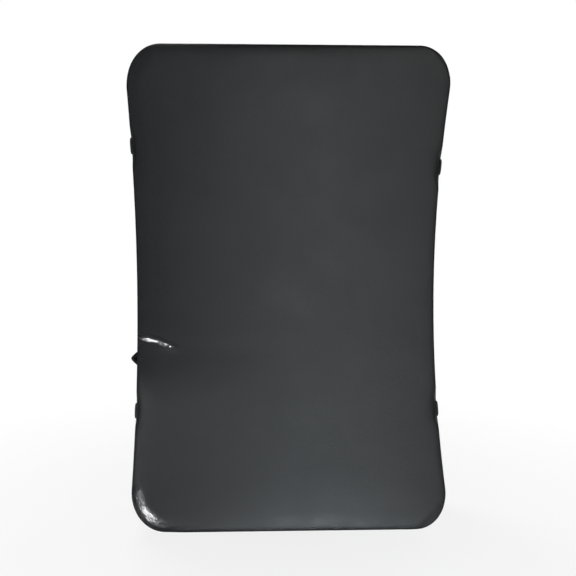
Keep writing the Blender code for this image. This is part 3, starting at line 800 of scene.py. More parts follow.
def seam_puckers(x, z, distance, seed, amount=0.00035):
    """Small gathers where the cover is drawn into its seam."""
    along = seam_place(x, z)
    gathers = ripple(along * 95, distance * 25, seed=seed)
    gathers += 0.6 * ripple(along * 210, distance * 40, seed=seed + 4)
    return amount * gathers * math.exp(-distance / 0.009) * smooth_step(distance, -0.001, 0.003)


def paint(made, name, value_at):
    """Store how worn or polished each point is, from 0 to 1, for the leather."""
    layer = made.data.attributes.new(name, "FLOAT", "POINT")
    layer.data.foreach_set("value", [value_at(vertex.co) for vertex in made.data.vertices])


def finish_skin(name, work, inside, finish, node, reach):
    """Make a padded skin a piece: worn along its rim, turned away from a point inside, and thick."""
    def wear(place):
        return 0.5 * (1 - smooth_step(COVER_SHEET.edge_distance(place.x, place.z), 0.002, reach))

    face_outwards(work, inside)
    skin = piece(name, smooth_mesh(work, 80), finish, nodes=[node])
    paint(skin, "wear", wear)
    solidify(skin)
    return skin


# ---------------------------------------------------------------- strike face

CREASE_ROWS = spaced(-0.092, -0.046, 0.0009)
CREASE_START, CREASE_END = -0.1925, -0.1440
CREASE_HEIGHT = -0.0578
STEEP_RUN = 0.055
FOLD_DEPTH = 0.0025
FOLD_LIP = 0.0016
TAIL_DEPTH = 0.0018


def crease_height(x):
    """Height of the crease, which runs in from the left seam and slopes down a little."""
    run = x - CREASE_START
    fall = 0.33 * min(run, STEEP_RUN) + 0.06 * max(0.0, run - STEEP_RUN)
    return CREASE_HEIGHT - fall + 0.0005 * ripple(x, scale=90, seed=61)


def crease_strength(x):
    """How deep the crease is along its length, from 0 to 1."""
    return smooth_step(x, -0.1960, -0.1890) * (1 - smooth_step(x, CREASE_END - 0.014, CREASE_END + 0.006))


def crease(x, z):
    """Depth of the crease: a fold whose lower side climbs to a raised lip, fading to the right."""
    if x > 0.02:
        return 0.0
    above = z - crease_height(x)
    if abs(above) > 0.035:
        return 0.0
    narrow = 0.65 + 0.35 * smooth_step(x, CREASE_START, -0.178) * (1 - smooth_step(x, -0.168, CREASE_END))
    across = above / narrow
    climb = smooth_step(across, -0.0040, 0.0034)
    fold = climb * (1 - smooth_step(across, 0.0038, 0.0080)) * FOLD_DEPTH
    lip = (1 - climb) * smooth_step(across, -0.0140, -0.0046) * FOLD_LIP
    wrinkles = 0.0010 * ripple(x, above, scale=330, seed=63)
    wrinkles += 0.0008 * ripple(x, above, scale=560, seed=65)
    wrinkles *= math.exp(-(across / 0.0050) ** 2)
    tail = 0.16 * smooth_step(x, -0.19, -0.15) * (1 - smooth_step(x, -0.12, 0.0))
    sharp = crease_strength(x) * (fold * narrow - lip * narrow + wrinkles)
    return sharp + tail * TAIL_DEPTH * math.exp(-((above - 0.001) / 0.012) ** 2)


CORNER_POLISH = 1.35
CORNER_PRESS = 0.0024
CORNER_SLOPE_START = 0.0088
CORNER_SLOPE_WIDTH = 0.0084
CROWN = 0.0018
CROWN_REACH = 0.050


def polish(point):
    """Where the strike face is rubbed to a gloss: on the crease, and on the lower left corner."""
    x, z = point.x, point.z
    above = z - crease_height(x)
    on_crease = crease_strength(x) * math.exp(-(above / 0.0058) ** 4)
    distance = COVER_SHEET.edge_distance(x, z)
    rubbed = smooth_step(distance, 0.0005, 0.0035) * (1 - smooth_step(distance, 0.0115, 0.0185))
    on_corner = CORNER_POLISH * rubbed * (1 - smooth_step(from_corner(x, z), 0.034, 0.060))
    return max(on_crease, on_corner)


def from_corner(x, z):
    """Distance from where the lower left corner would be if it were square."""
    return math.hypot(x + HALF_WIDTH, z + HALF_HEIGHT)


def pressed_corner(x, z, distance):
    """Extra depth of the lower left corner, which is knocked to a slope from being stood on."""
    near = 1 - smooth_step(from_corner(x, z), 0.032, 0.068)
    slope = 1 - min(max((distance - CORNER_SLOPE_START) / CORNER_SLOPE_WIDTH, 0.0), 1.0)
    return CORNER_PRESS * near * smooth_step(distance, 0.0, 0.0085) * slope


def face_drop(x, z):
    """Depth of the strike face's surface at a point."""
    distance = COVER_SHEET.edge_distance(x, z)
    settled = smooth_step(distance, 0.0, 0.04)
    from_rim = 1 - min(distance, CROWN_REACH) / CROWN_REACH
    depth = rim_roll(distance) - CROWN * (1 - from_rim ** 2)
    waves = 0.0006 * ripple(x, z, scale=8, seed=3) + 0.00025 * ripple(x, z, scale=26, seed=8)
    depth += settled * waves
    depth += pressed_corner(x, z, distance) + crease(x, z) + small_marks(x, z)
    return depth + seam_puckers(x, z, distance, seed=11)


MARKS = (  # x, z, half length, half width, slope, depth: small folds at the seams and corners
    (-0.1895, 0.036, 0.010, 0.0016, 0.9, 0.0006),
    (-0.1880, 0.0030, 0.005, 0.0014, 0.3, 0.0006),
    (-0.1745, 0.0025, 0.004, 0.0013, -0.4, 0.0005),
    (0.1800, 0.2700, 0.016, 0.0020, -0.9, 0.0007),
    (0.1700, -0.2740, 0.018, 0.0022, 0.8, 0.0007),
    (-0.1720, 0.2720, 0.014, 0.0020, 0.9, 0.0006),
)


def small_marks(x, z):
    """Small folds at the seams and corners."""
    depth = 0.0
    for mark_x, mark_z, half_length, half_width, slope, amount in MARKS:
        turn = math.atan(slope)
        along = (x - mark_x) * math.cos(turn) + (z - mark_z) * math.sin(turn)
        across = (z - mark_z) * math.cos(turn) - (x - mark_x) * math.sin(turn)
        if abs(along) < 3 * half_length and abs(across) < 4 * half_width:
            depth += amount * math.exp(-(along / half_length) ** 2 - (across / half_width) ** 2)
    return depth


def make_strike_face():
    """The strike face skin, rolled down to its seam all round."""
    work = FACE_SHEET.grid(FACE_STEP, CREASE_ROWS)
    for vertex in work.verts:
        x, _, z = vertex.co
        depth = face_drop(x, z)
        x, z = rolled_out(x, z)
        vertex.co = bent(x, depth, z)
    inside = bent(0, BODY_DEPTH, 0)
    skin = finish_skin(
        "strike_face", work, inside, FACE_LEATHER, "front_panel", reach=0.018)
    paint(skin, "polish", polish)


# ---------------------------------------------------------------- back panels

ZIP_FRAME = square_to_bend(math.asin(ZIP_HEIGHT / (BEND_RADIUS + BODY_DEPTH)), BODY_DEPTH)
ZIP_CUTS = (-0.0042, -0.0022, -0.0012, -0.0005, 0.0005, 0.0012, 0.0022, 0.0042)
ZIP_EDGE_ROW = 0.0028


def back_drop(x, z):
    """How far the back's surface lies under the flat of the back."""
    distance = COVER_SHEET.edge_distance(x, z)
    settled = smooth_step(distance, 0.0, 0.04)
    waves = 0.00025 * ripple(x, z, scale=9, seed=31) + 0.00010 * ripple(x, z, scale=30, seed=5)
    depth = rim_roll(distance) + settled * (0.0002 + waves)
    return depth + seam_puckers(x, z, distance, seed=23, amount=0.0005)


def on_back(x, z, lift=0.0):
    """A point of the back's surface, and the way the surface looks there."""
    up = Vector((0, math.sqrt((BEND_RADIUS + BODY_DEPTH) ** 2 - z * z), z)).normalized()
    return bent(x, BODY_DEPTH - back_drop(x, z), z) + up * lift, up


def zip_mouth(x):
    """Half the opening of the zip's mouth along its length."""
    return ZIP_MOUTH * (1 - smooth_step(abs(x), ZIP_LENGTH / 2 + 0.0015, ZIP_LENGTH / 2 + 0.010))


def zip_edge_drop(above, x):
    """How far a back panel dips towards the zip: a folded edge, and a shallow row of stitching."""
    row = 0.00025 * math.exp(-((above - ZIP_EDGE_ROW) / 0.0012) ** 2)
    return 0.0012 * math.exp(-above / 0.0007) + row + 0.0002 * abs(ripple(x * 130, above * 60, seed=9))


def make_back_panel(name, side):
    """One of the two back panels, above (1) or under (-1) the zip."""
    work = COVER_SHEET.grid(FACE_STEP)
    for level in (0.0, *ZIP_CUTS):
        geometry = list(work.verts) + list(work.edges) + list(work.faces)
        line = (0, 0, ZIP_HEIGHT + level)
        bmesh.ops.bisect_plane(work, geom=geometry, dist=0.0001, plane_co=line, plane_no=(0, 0, 1))
    wrong = [face for face in work.faces if side * (face.calc_center_median().z - ZIP_HEIGHT) < 0]
    bmesh.ops.delete(work, geom=wrong, context="FACES")
    for vertex in work.verts:
        x, _, z = vertex.co
        above = abs(z - ZIP_HEIGHT)
        inland = smooth_step(COVER_SHEET.edge_distance(x, z), 0, 0.01)
        depth = back_drop(x, z) + zip_edge_drop(above, x) * inland
        x, z = rolled_out(x, z)
        z += side * max(zip_mouth(x), GAP / 2) * (1 - smooth_step(above, 0.0, 0.03))
        vertex.co = bent(x, BODY_DEPTH - depth, z)
    finish_skin(name, work, bent(0, 0, 0), BACK_LEATHER, name, reach=0.020)


def sew_zip(stitches):
    """A row of stitches along either edge of the zip, out to the side seams."""
    reach = HALF_WIDTH - 0.006
    for side in (-1, 1):
        def surface(x, _):
            z = ZIP_HEIGHT + side * (zip_mouth(x) + ZIP_EDGE_ROW)
            return on_back(x, z, -0.0003)

        sew_between(stitches, (-reach, 0), (reach, 0), surface)


# ---------------------------------------------------------------- side walls

WALL_TUCK = 0.0004
WALL_ROWS = [0.0, 0.0006, 0.0015, 0.0026, 0.004]
WALL_STEP = 0.0035
EYELET_HOLE_RADIUS = 0.0049
EYELET_PROFILE = (  # radius, how far outside the wall
    (0.0034, -0.0030), (0.0033, 0.0004), (0.0037, 0.0012), (0.0046, 0.0016), (0.0056, 0.0015),
    (0.0067, 0.0010), (0.0077, 0.0003), (0.0080, 0.0001), (0.0079, -0.0001), (0.0060, -0.0001),
    (0.0046, -0.0002), (0.0044, -0.0030),
)


def near_level(z, level, width):
    """1 within a band of heights about a level, fading to 0 beside it."""
    return 1 - smooth_step(abs(z - level), width / 2, width / 2 + 0.016)


def strapped(x, z):
    """1 where a strap crosses a side, 0 away from them."""
    if abs(x) < COVER_SHEET.straight_x:
        return 0.0
    lean = x / FACE_HALF_WIDTH / 2
    return max(near_level(z, height + rise * lean, STRAP_WIDTH) for _, height, rise in STRAPS)


def pressed(x, z):
    """1 where a strap or the hanging loop lies on the wall, 0 away from them."""
    on_loop = near_level(z, LOOP_HEIGHT, 0.04) if x < -COVER_SHEET.straight_x else 0.0
    return max(strapped(x, z), on_loop)


def wall_bulge(x, z, share):
    """How far the wall stands out between its seams (share 0 to 1)."""
    ends = min(share, 1 - share)
    fullness = math.sqrt(max(0.0, 1 - (1 - 2 * ends) ** 2))
    along = seam_place(x, z)
    gathers = ripple(along * 60, share * 3, seed=40) + 0.6 * ripple(along * 130, share * 5, seed=44)
    near_seam = math.exp(-ends / 0.14) * smooth_step(ends, 0.0, 0.03)
    free = 1 - pressed(x, z)
    bulge = 0.0011 * fullness * free + 0.0004 * gathers * near_seam * free
    bulge += 0.0003 * ripple(along, share * 0.08, scale=22, seed=47) * free
    return bulge - WALL_TUCK * (1 - smooth_step(ends, 0.0, 0.05))


def make_side_wall(name, side):
    """The upper (1) or lower (-1) U of the wall, pierced for its two eyelets."""
    columns = spaced(-COVER_SHEET.straight_x, COVER_SHEET.straight_x, WALL_STEP)
    rows = WALL_ROWS + spaced(WALL_ROWS[-1], COVER_SHEET.straight_z, WALL_STEP)[1:]
    mirrored = sorted([-z for z in rows[1:]] + rows)
    points = COVER_SHEET.outline(columns, mirrored)
    half = [point for point in points if side * point[1] >= -1e-9]
    if side < 0:
        turn = next(index for index, point in enumerate(half) if point[0] < 0)
        half = half[turn:] + half[:turn]
    top, bottom = SEAM_DEPTH - 0.0002, BACK_SEAM_DEPTH + 0.0002
    work = bmesh.new()
    rings = []
    for x, z, out_x, out_z in half:
        ring = []
        for share in spaced(0, 1, 0.035):
            lift = wall_bulge(x, z, share) - 0.0009 * math.exp(-abs(z) / 0.0011)
            z_kept = side * max(side * (z + out_z * lift), GAP / 2)
            depth = top + (bottom - top) * share
            ring.append(work.verts.new(bent(x + out_x * lift, depth, z_kept)))
        rings.append(ring)
    bridge(work, rings, closed=False)
    face_outwards(work, bent(0, BODY_DEPTH / 2, 0))
    wall = piece(name, smooth_mesh(work, 80), WALL_LEATHER, nodes=[name])
    solidify(wall)
    for sign_x in (-1, 1):
        bpy.ops.mesh.primitive_cylinder_add(
            vertices=40, radius=EYELET_HOLE_RADIUS, depth=0.02, rotation=(0, math.pi / 2, 0),
            location=bent(sign_x * HALF_WIDTH, BODY_DEPTH / 2, side * EYELET_HEIGHT))
        cutter = bpy.context.object
        hole = wall.modifiers.new("hole", "BOOLEAN")
        hole.object = cutter
        hole.solver = "EXACT"
        apply_modifiers(wall)
        bpy.data.objects.remove(cutter)


def make_eyelet(name, sign_x, sign_z):
    """A pressed steel eyelet: a domed flange outside and a barrel through the wall."""
    wall = wall_bulge(sign_x * HALF_WIDTH, sign_z * EYELET_HEIGHT, 0.5)
    centre = bent(sign_x * HALF_WIDTH, BODY_DEPTH / 2, sign_z * EYELET_HEIGHT)
    rings = []
    for step in range(48):
        turn = Matrix.Rotation(math.tau * step / 48, 3, "X")
        rings.append([
            centre + Vector((sign_x * (wall + out), 0, 0)) + turn @ Vector((0, radius, 0))
            for radius, out in EYELET_PROFILE])
    piece(name, smooth_mesh(loft(rings, closed=True), 50), DARK_STEEL, nodes=[name])


PIPING_GIVE = 0.0009
PIPING_STEP = 0.005


def make_piping(name, depth):
    """A vinyl piping: a cord's round bead that runs right round a seam, pressed in by the straps."""
    rows = spaced(-COVER_SHEET.straight_z, COVER_SHEET.straight_z, PIPING_STEP)
    columns = spaced(-COVER_SHEET.straight_x, COVER_SHEET.straight_x, PIPING_STEP)
    line, outwards = [], []
    for x, z, out_x, out_z in COVER_SHEET.outline(columns, rows):
        offset = PIPING_RADIUS + GAP / 2 - PIPING_GIVE * strapped(x, z)
        here = bent(x + out_x * offset, depth, z + out_z * offset)
        line.append(here)
        outwards.append((here - bent(x, depth, z)).normalized())
    rings = []
    for index, middle in enumerate(line):
        ahead = (line[(index + 1) % len(line)] - line[index - 1]).normalized()
        out = (outwards[index] - ahead * ahead.dot(outwards[index])).normalized()
        across = ahead.cross(out)
        radius = PIPING_RADIUS * (1 + 0.035 * ripple(index * 0.9, seed=depth * 500))
        rings.append([
            middle + radius * (out * math.cos(turn) + across * math.sin(turn))
            for turn in (math.tau * step / 14 for step in range(14))])
    piece(name, smooth_mesh(loft(rings, closed=True)), PIPING_VINYL, nodes=[name])


# ---------------------------------------------------------------- forearm straps

def bow_depth(x):
    """Depth of a strap's middle line where it bows over the back."""
    start = HALF_WIDTH - 0.006
    return BODY_DEPTH + 0.003 + STRAP_BOW * (1 - (abs(x) / start) ** 2.2)


def strap_strip(height, rise):
    """A strap's middle line: up one wall, over the back and down the other wall."""
    on_wall = HALF_WIDTH + WEBBING_MIDDLE
    over_piping = FACE_HALF_WIDTH + WEBBING_MIDDLE - PIPING_GIVE
    wall = [
        (HALF_WIDTH + 0.0012, SEAM_DEPTH - 0.0031),
        (FACE_HALF_WIDTH - 0.0012, SEAM_DEPTH - 0.0034),
        (over_piping, SEAM_DEPTH - 0.0012),
        (over_piping, SEAM_DEPTH + 0.0020),
        (on_wall, SEAM_DEPTH + 0.010),
        (on_wall, BACK_SEAM_DEPTH - 0.010),
        (over_piping, BACK_SEAM_DEPTH - 0.0025),
        (over_piping, BACK_SEAM_DEPTH + 0.003),
    ]
    bow = [(x, bow_depth(x)) for x in spaced(-BOW_REACH, BOW_REACH, 0.012)]
    line = wall + bow[::-1] + [(-x, depth) for x, depth in reversed(wall)]
    frame = square_to_bend(math.asin(height / BEND_RADIUS), 0)
    lean = rise / (2 * FACE_HALF_WIDTH)
    points = [frame @ Vector((x, depth, lean * x)) for x, depth in line]
    return Strip(points, frame.to_3x3() @ Vector((0, 0, 1)), rounds=5)


PAD_STEP = 0.0036
PAD_FLANGE = 0.007
PAD_FLANGE_HALF_THICKNESS = 0.0016
PAD_END = 0.007
PAD_END_HALF_THICKNESS = 0.0026
PAD_SWELL = 0.005


def pad_section(half_width, half_thickness):
    """Half section of a forearm pad (across, half thickness): a flat sewn flange, then a full roll."""
    section = []
    for across in (share * half_width for share in spaced(-1, 1, 2 * PAD_STEP / SLEEVE_WIDTH)):
        from_flange = across + half_width - PAD_FLANGE
        if from_flange <= 0:
            section.append((across, PAD_FLANGE_HALF_THICKNESS))
            continue
        share = from_flange / (2 * half_width - PAD_FLANGE)
        round_off = (1 - (2 * share - 1) ** 4) ** 0.5 if share < 1 else 0.0
        flange = PAD_FLANGE_HALF_THICKNESS * (1 - share)
        section.append((across, max(flange, half_thickness * round_off)))
    return section


def make_pad(name, strip):
    """A padded sleeve on a strap: foam in leather, sewn along one edge and across both ends."""
    middle = strip.length / 2
    stations = spaced(middle - SLEEVE_LENGTH / 2, middle + SLEEVE_LENGTH / 2, PAD_STEP)
    rings = []
    for along in stations:
        from_end = SLEEVE_LENGTH / 2 - abs(along - middle)
        full = smooth_step(from_end, PAD_END, PAD_END + 0.012)
        half_thickness = PAD_END_HALF_THICKNESS + (SLEEVE_THICKNESS / 2 - 0.0046) * full
        half_width = SLEEVE_WIDTH / 2 - 0.0010 - 0.0015 * (1 - full)
        section = pad_section(half_width, half_thickness)
        upper = [strip.place(along, across, rise)[0] for across, rise in section]
        lower = [strip.place(along, across, -rise)[0] for across, rise in section[:-1]]
        rings.append(upper + lower[::-1])
    count = len(rings[0])
    work = loft(rings)
    work.verts.ensure_lookup_table()
    flange_columns = [*range(3), *range(count - 3, count)]
    held = set()
    for ring in range(len(rings)):
        at_end = min(ring, len(rings) - 1 - ring) <= round(PAD_END / PAD_STEP)
        columns = range(count) if at_end else flange_columns
        held.update(ring * count + column for column in columns)
    mesh = inflate(work, [work.verts[index] for index in sorted(held)], PAD_SWELL)
    pad = piece(name, mesh, PAD_LEATHER, nodes=[name])
    subdivide(pad)


def sew_pad(stitches, strip):
    """The stitching of a pad: one long row beside its sewn edge, and a row across either end."""
    middle = strip.length / 2
    reach = SLEEVE_LENGTH / 2
    inner = -SLEEVE_WIDTH / 2 + 0.0055
    for face in (1, -1):
        def surface(along, across):
            on_flange = across < -SLEEVE_WIDTH / 2 + PAD_FLANGE
            rise = PAD_FLANGE_HALF_THICKNESS if on_flange else PAD_END_HALF_THICKNESS
            place, up = strip.place(middle + along, across, face * rise)
            return place, up * face

        sew_between(stitches, (-reach + 0.004, inner), (reach - 0.004, inner), surface)
        for end in (-1, 1):
            start = (end * (reach - 0.0045), inner + 0.005)
            sew_between(stitches, start, (start[0], SLEEVE_WIDTH / 2 - 0.006), surface)


def sew_strap(stitches, strip, height):
    """A sewn box with a cross where a strap lies on either wall."""
    frame = square_to_bend(math.asin(height / BEND_RADIUS), 0)
    half = STRAP_WIDTH / 2 - 0.003

    def surface(along, across):
        return strip.place(along, across, WEBBING / 2)

    for x in (-HALF_WIDTH - WEBBING_MIDDLE, HALF_WIDTH + WEBBING_MIDDLE):
        ends = [strip.nearest(frame @ Vector((x, SEAM_DEPTH + depth, 0))) for depth in (0.014, 0.036)]
        sew_box(stitches, (min(ends), -half), (max(ends), half), surface)


# ---------------------------------------------------------------- hand grips

def grip_reach(height):
    """How far a grip's middle line stands over its axis at a height."""
    fullness = max(0.0, 1 - (abs(height) / GRIP_HALF_HEIGHT) ** 3.4)
    return GRIP_BOW * fullness ** (1 / 2.2)


def make_grip_webbing(side, x, direction):
    """Half a grip's webbing: flat on its patch, folded double where it climbs into the sleeve."""
    lift = COVER + 2 * GAP + WEBBING / 2
    points = []
    for height in (GRIP_TAB_START + GRIP_TAB_LENGTH, GRIP_TAB_START + GRIP_TAB_RISE + 0.002):
        points.append(bent(x, BODY_DEPTH + lift, direction * height))
    points.append(Vector((x, GRIP_AXIS_HEIGHT - 0.0005, direction * GRIP_TAB_START)))
    for turn in spaced(0.10, 0.85, 0.06):
        height = GRIP_HALF_HEIGHT * math.cos(turn)
        points.append(Vector((x, GRIP_AXIS_HEIGHT + grip_reach(height), direction * height)))
    strip = Strip(points, Vector((-direction, 0, 0)), step=0.0012, rounds=6)
    folded_width, folded_thickness = GRIP_WEBBING

    def fold(point):
        return 1 - smooth_step(abs(point.z), GRIP_HALF_HEIGHT - 0.001, GRIP_TAB_START + GRIP_TAB_RISE)

    mesh = band(
        strip,
        lambda point: GRIP_TAB_WIDTH + (folded_width - GRIP_TAB_WIDTH) * fold(point),
        lambda point: WEBBING + (folded_thickness - WEBBING) * fold(point),
        seed=x + direction)
    end = "upper" if direction > 0 else "lower"
    nodes = [f"{side}_grip_tab_{end}"] + ([f"{side}_grip_webbing"] if direction > 0 else [])
    webbing = piece(f"{side}_grip_strap_{end}", mesh, STRAP_WEBBING, body=None, nodes=nodes)
    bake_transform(webbing)


SLACK_RADIUS = GRIP_SLEEVE_RADIUS - 0.0012
GRIP_SIDES = 24
GRIP_SWELL = 0.0022
GRIP_SEAM_INSET = 0.004


def make_grip_sleeve(side, x):
    """The leather roll of a grip: foam in leather, closed by a seam along its outer side."""
    reach = GRIP_SLEEVE_LENGTH / 2
    points = [Vector((x, GRIP_AXIS_HEIGHT + grip_reach(z), z)) for z in spaced(reach, -reach, -0.004)]
    strip = Strip(points, Vector((-1, 0, 0)), step=0.002, rounds=4)
    rings = []
    for along in spaced(0, strip.length, 0.0034):
        from_end = min(along, strip.length - along)
        radius = SLACK_RADIUS * (0.80 + 0.20 * smooth_step(from_end, 0.0, 0.012))
        ring = []
        for step in range(GRIP_SIDES):
            turn = math.tau * step / GRIP_SIDES
            ring.append(strip.place(along, radius * math.cos(turn), radius * math.sin(turn))[0])
        rings.append(ring)
    work = loft(rings)
    work.verts.ensure_lookup_table()
    last = len(rings) - 1
    seam_side = 0 if side == "left" else GRIP_SIDES // 2
    held = [
        work.verts[ring * GRIP_SIDES + step]
        for ring in range(len(rings)) for step in range(GRIP_SIDES)
        if ring in (0, 1, last - 1, last) or step == seam_side]
    mesh = inflate(work, held, GRIP_SWELL)
    sleeve = piece(
        f"{side}_grip_sleeve", mesh, PAD_LEATHER, body=f"{side}_grip",
        nodes=[f"{side}_grip_sleeve"])
    subdivide(sleeve)
    stitches = []
    sign = 1 if side == "left" else -1

    def surface(along, _):
        place, _ = strip.place(along, sign * SLACK_RADIUS, 0.0)
        return place, strip.side * sign

    ends = (GRIP_SEAM_INSET, strip.length - GRIP_SEAM_INSET)
    sew_between(stitches, (ends[0], 0), (ends[1], 0), surface)
    radius = SLACK_RADIUS * 0.86
    for along in ends:
        def ring_at(arc):
            turn = arc / radius
            place, _ = strip.place(along, radius * math.cos(turn), radius * math.sin(turn))
            middle, _ = strip.place(along)
            return place, (place - middle).normalized()

        sew(stitches, ring_at, math.tau * radius)
    piece(f"{side}_grip_stitches", grains_mesh(stitches), THREAD, body=f"{side}_grip")


PATCH_RISE = 0.0021
PATCH_ROUND = 0.0012
PATCH_STITCH_INSET = 0.0036
PATCH_STITCH_RISE = 0.0019
PATCH_RINGS = [0.0, 0.0002, 0.0006, 0.0012, 0.0020, 0.0030, 0.0040]
PATCH_SHEET = RoundedSheet(GRIP_PATCH / 2, GRIP_PATCH / 2, 0.006, 6, PATCH_RINGS)


def make_patch(side, end, x, direction):
    """A leather patch under a grip's end, with a row of stitches inside its edge."""
    centre = direction * (GRIP_TAB_START + GRIP_TAB_LENGTH / 2)
    work = PATCH_SHEET.grid(0.0022)
    for vertex in work.verts:
        u, _, v = vertex.co
        distance = PATCH_SHEET.edge_distance(u, v)
        share = min(max(distance / PATCH_ROUND, 0.0), 1.0)
        rise = PATCH_RISE * math.sqrt(1 - (1 - share) ** 2) + 0.0001
        rise -= 0.0003 * math.exp(-((distance - PATCH_STITCH_INSET) / 0.0009) ** 2)
        vertex.co = on_back(x + u, centre + v, rise)[0]
    face_outwards(work, bent(0, 0, 0))
    name = f"{side}_grip_patch_{end}"
    patch = piece(name, smooth_mesh(work, 80), BACK_LEATHER, nodes=[name])
    paint(patch, "wear", lambda co: 0.35)
    solidify(patch)


def sew_grip_anchor(stitches, x, direction):
    """The stitches of a patch and of the webbing's flat end on it."""
    centre = direction * (GRIP_TAB_START + GRIP_TAB_LENGTH / 2)
    reach = GRIP_PATCH / 2 - PATCH_STITCH_INSET

    def patch_surface(u, v):
        return on_back(x + u, centre + v, PATCH_STITCH_RISE)

    sew_box(stitches, (-reach, -reach), (reach, reach), patch_surface, crossed=False)

    def tab_surface(u, v):
        z = direction * (GRIP_TAB_START + v)
        up = on_back(x, z)[1]
        return bent(x + u, BODY_DEPTH, z) + up * (COVER + 2 * GAP + WEBBING), up

    half = GRIP_TAB_WIDTH / 2 - 0.003
    sew_box(stitches, (-half, GRIP_TAB_RISE + 0.0035), (half, GRIP_TAB_LENGTH - 0.0025), tab_surface)


# ---------------------------------------------------------------- zip

TOOTH_PITCH = 0.00125
TOOTH_LENGTH = 0.0032
TOOTH_RADIUS = 0.00058
TAPE_WIDTH = 0.0117
TAPE_THICKNESS = 0.0008
TAPE_MIDDLE = 0.0061
ZIP_STITCH_HEIGHT = 0.0028


def make_zip():
    """Closed zip: woven tapes under the back's edges and a coil of nylon teeth between them."""
    up = ZIP_FRAME.to_3x3() @ Vector((0, 1, 0))
    climb = ZIP_FRAME.to_3x3() @ Vector((0, 0, 1))
    tape_end = ZIP_LENGTH / 2 + 0.005
    for name, side in (("zip_tape_upper", 1), ("zip_tape_lower", -1)):
        line = [ZIP_FRAME @ Vector((x, -0.0027, side * TAPE_MIDDLE)) for x in (tape_end, -tape_end)]
        tape = band(Strip(line, climb, step=0.004, rounds=0), TAPE_WIDTH, TAPE_THICKNESS, seed=side)
        piece(name, tape, ZIP_TAPE, nodes=[name])
    teeth = []
    count = int(ZIP_LENGTH / TOOTH_PITCH)
    for index in range(count):
        side = 1 if index % 2 else -1
        x = (index - (count - 1) / 2) * TOOTH_PITCH
        centre = ZIP_FRAME @ Vector((x, -0.0011, side * 0.00060))
        teeth.append((centre, climb, TOOTH_LENGTH, TOOTH_RADIUS))
    piece("zip_chain", grains_mesh(teeth, 8, 6), ZIP_NYLON, nodes=["zip_chain"])
    stitches = []

    def surface(x, z):
        return ZIP_FRAME @ Vector((x, -0.0021, z)), up

    for z in (-ZIP_STITCH_HEIGHT, ZIP_STITCH_HEIGHT):
        sew_between(stitches, (-ZIP_LENGTH / 2, z), (ZIP_LENGTH / 2, z), surface)
    piece("zip_stitches", grains_mesh(stitches), THREAD)


# ---------------------------------------------------------------- hanging loop

def make_hanging_loop(stitches):
    """Webbing folded to a point and sewn to the left wall by its two ends."""
    frame = square_to_bend(math.asin(LOOP_HEIGHT / BEND_RADIUS), LOOP_DEPTH)
    wall = HALF_WIDTH + WEBBING_MIDDLE
    tip = HALF_WIDTH + LOOP_REACH - WEBBING / 2
    half = [(wall, LOOP_OPENING + LOOP_TAB), (wall, LOOP_OPENING + 0.0006), (tip - 0.0012, 0.0020)]
    line = half + [(tip, 0)] + [(x, -z) for x, z in reversed(half)]
    points = [frame @ Vector((-x, 0, z)) for x, z in line]
    strip = Strip(points, frame.to_3x3() @ Vector((0, -1, 0)), step=0.0008, rounds=4)
    webbing = band(strip, LOOP_WIDTH, WEBBING, seed=5)
    front_y = (frame @ Vector((0, -LOOP_WIDTH / 2, 0))).y
    for index, vertex in enumerate(webbing.vertices):
        reach = -strip.points[index // len(BAND_SECTION)].x - wall
        vertex.co.x += LOOP_FLATTEN * reach * smooth_step(vertex.co.y, front_y, front_y + LOOP_WIDTH)
    piece("hanging_loop", webbing, STRAP_WEBBING, nodes=["hanging_loop"])

    def surface(along, across):
        return strip.place(along, across, WEBBING / 2)

    half_width = LOOP_WIDTH / 2 - 0.0025
    for start in (0.002, strip.length - 0.0095):
        sew_box(stitches, (start, -half_width), (start + 0.0075, half_width), surface, crossed=False)


# ---------------------------------------------------------------- carried-over parts

def finish_frame_parts():
    """Materials, and rounded edges, for the parts of the frame that stay in sight or inside."""
    nodes = frame["nodes"]
    for name, finish in (
            ("core_strike_layer", FIRM_FOAM), ("core_middle_front", SOFT_FOAM),
            ("core_middle_rear", SOFT_FOAM), ("core_back_layer", FIRM_FOAM),
            ("zip_slider", DARK_STEEL), ("zip_pull", DARK_STEEL),
            ("zip_stop_left", DARK_STEEL), ("zip_stop_right", DARK_STEEL)):
        node = nodes[name]
        node.data.materials.clear()
        node.data.materials.append(finish)
        if finish == DARK_STEEL:
            rounding = node.modifiers.new("rounding", "BEVEL")
            rounding.width = 0.0003
            rounding.segments = 3
            rounding.limit_method = "ANGLE"


def make_straps(stitches):
    """Both forearm straps, their pads and their stitching."""
    for name, height, rise in STRAPS:
        strip = strap_strip(height, rise)
        webbing = band(strip, STRAP_WIDTH, WEBBING, seed=height, curl=STRAP_CURL)
        piece(name, webbing, STRAP_WEBBING, nodes=[name])
        make_pad(f"{name}_sleeve", strip)
        sew_pad(stitches, strip)
        sew_strap(stitches, strip, height)


def make_grips(stitches):
    """Both hand grips with their anchors."""
    for side, x in (("left", -GRIP_X), ("right", GRIP_X)):
        make_grip_sleeve(side, x)
        for end, direction in (("upper", 1), ("lower", -1)):
            make_grip_webbing(side, x, direction)
            make_patch(side, end, x, direction)
            sew_grip_anchor(stitches, x, direction)


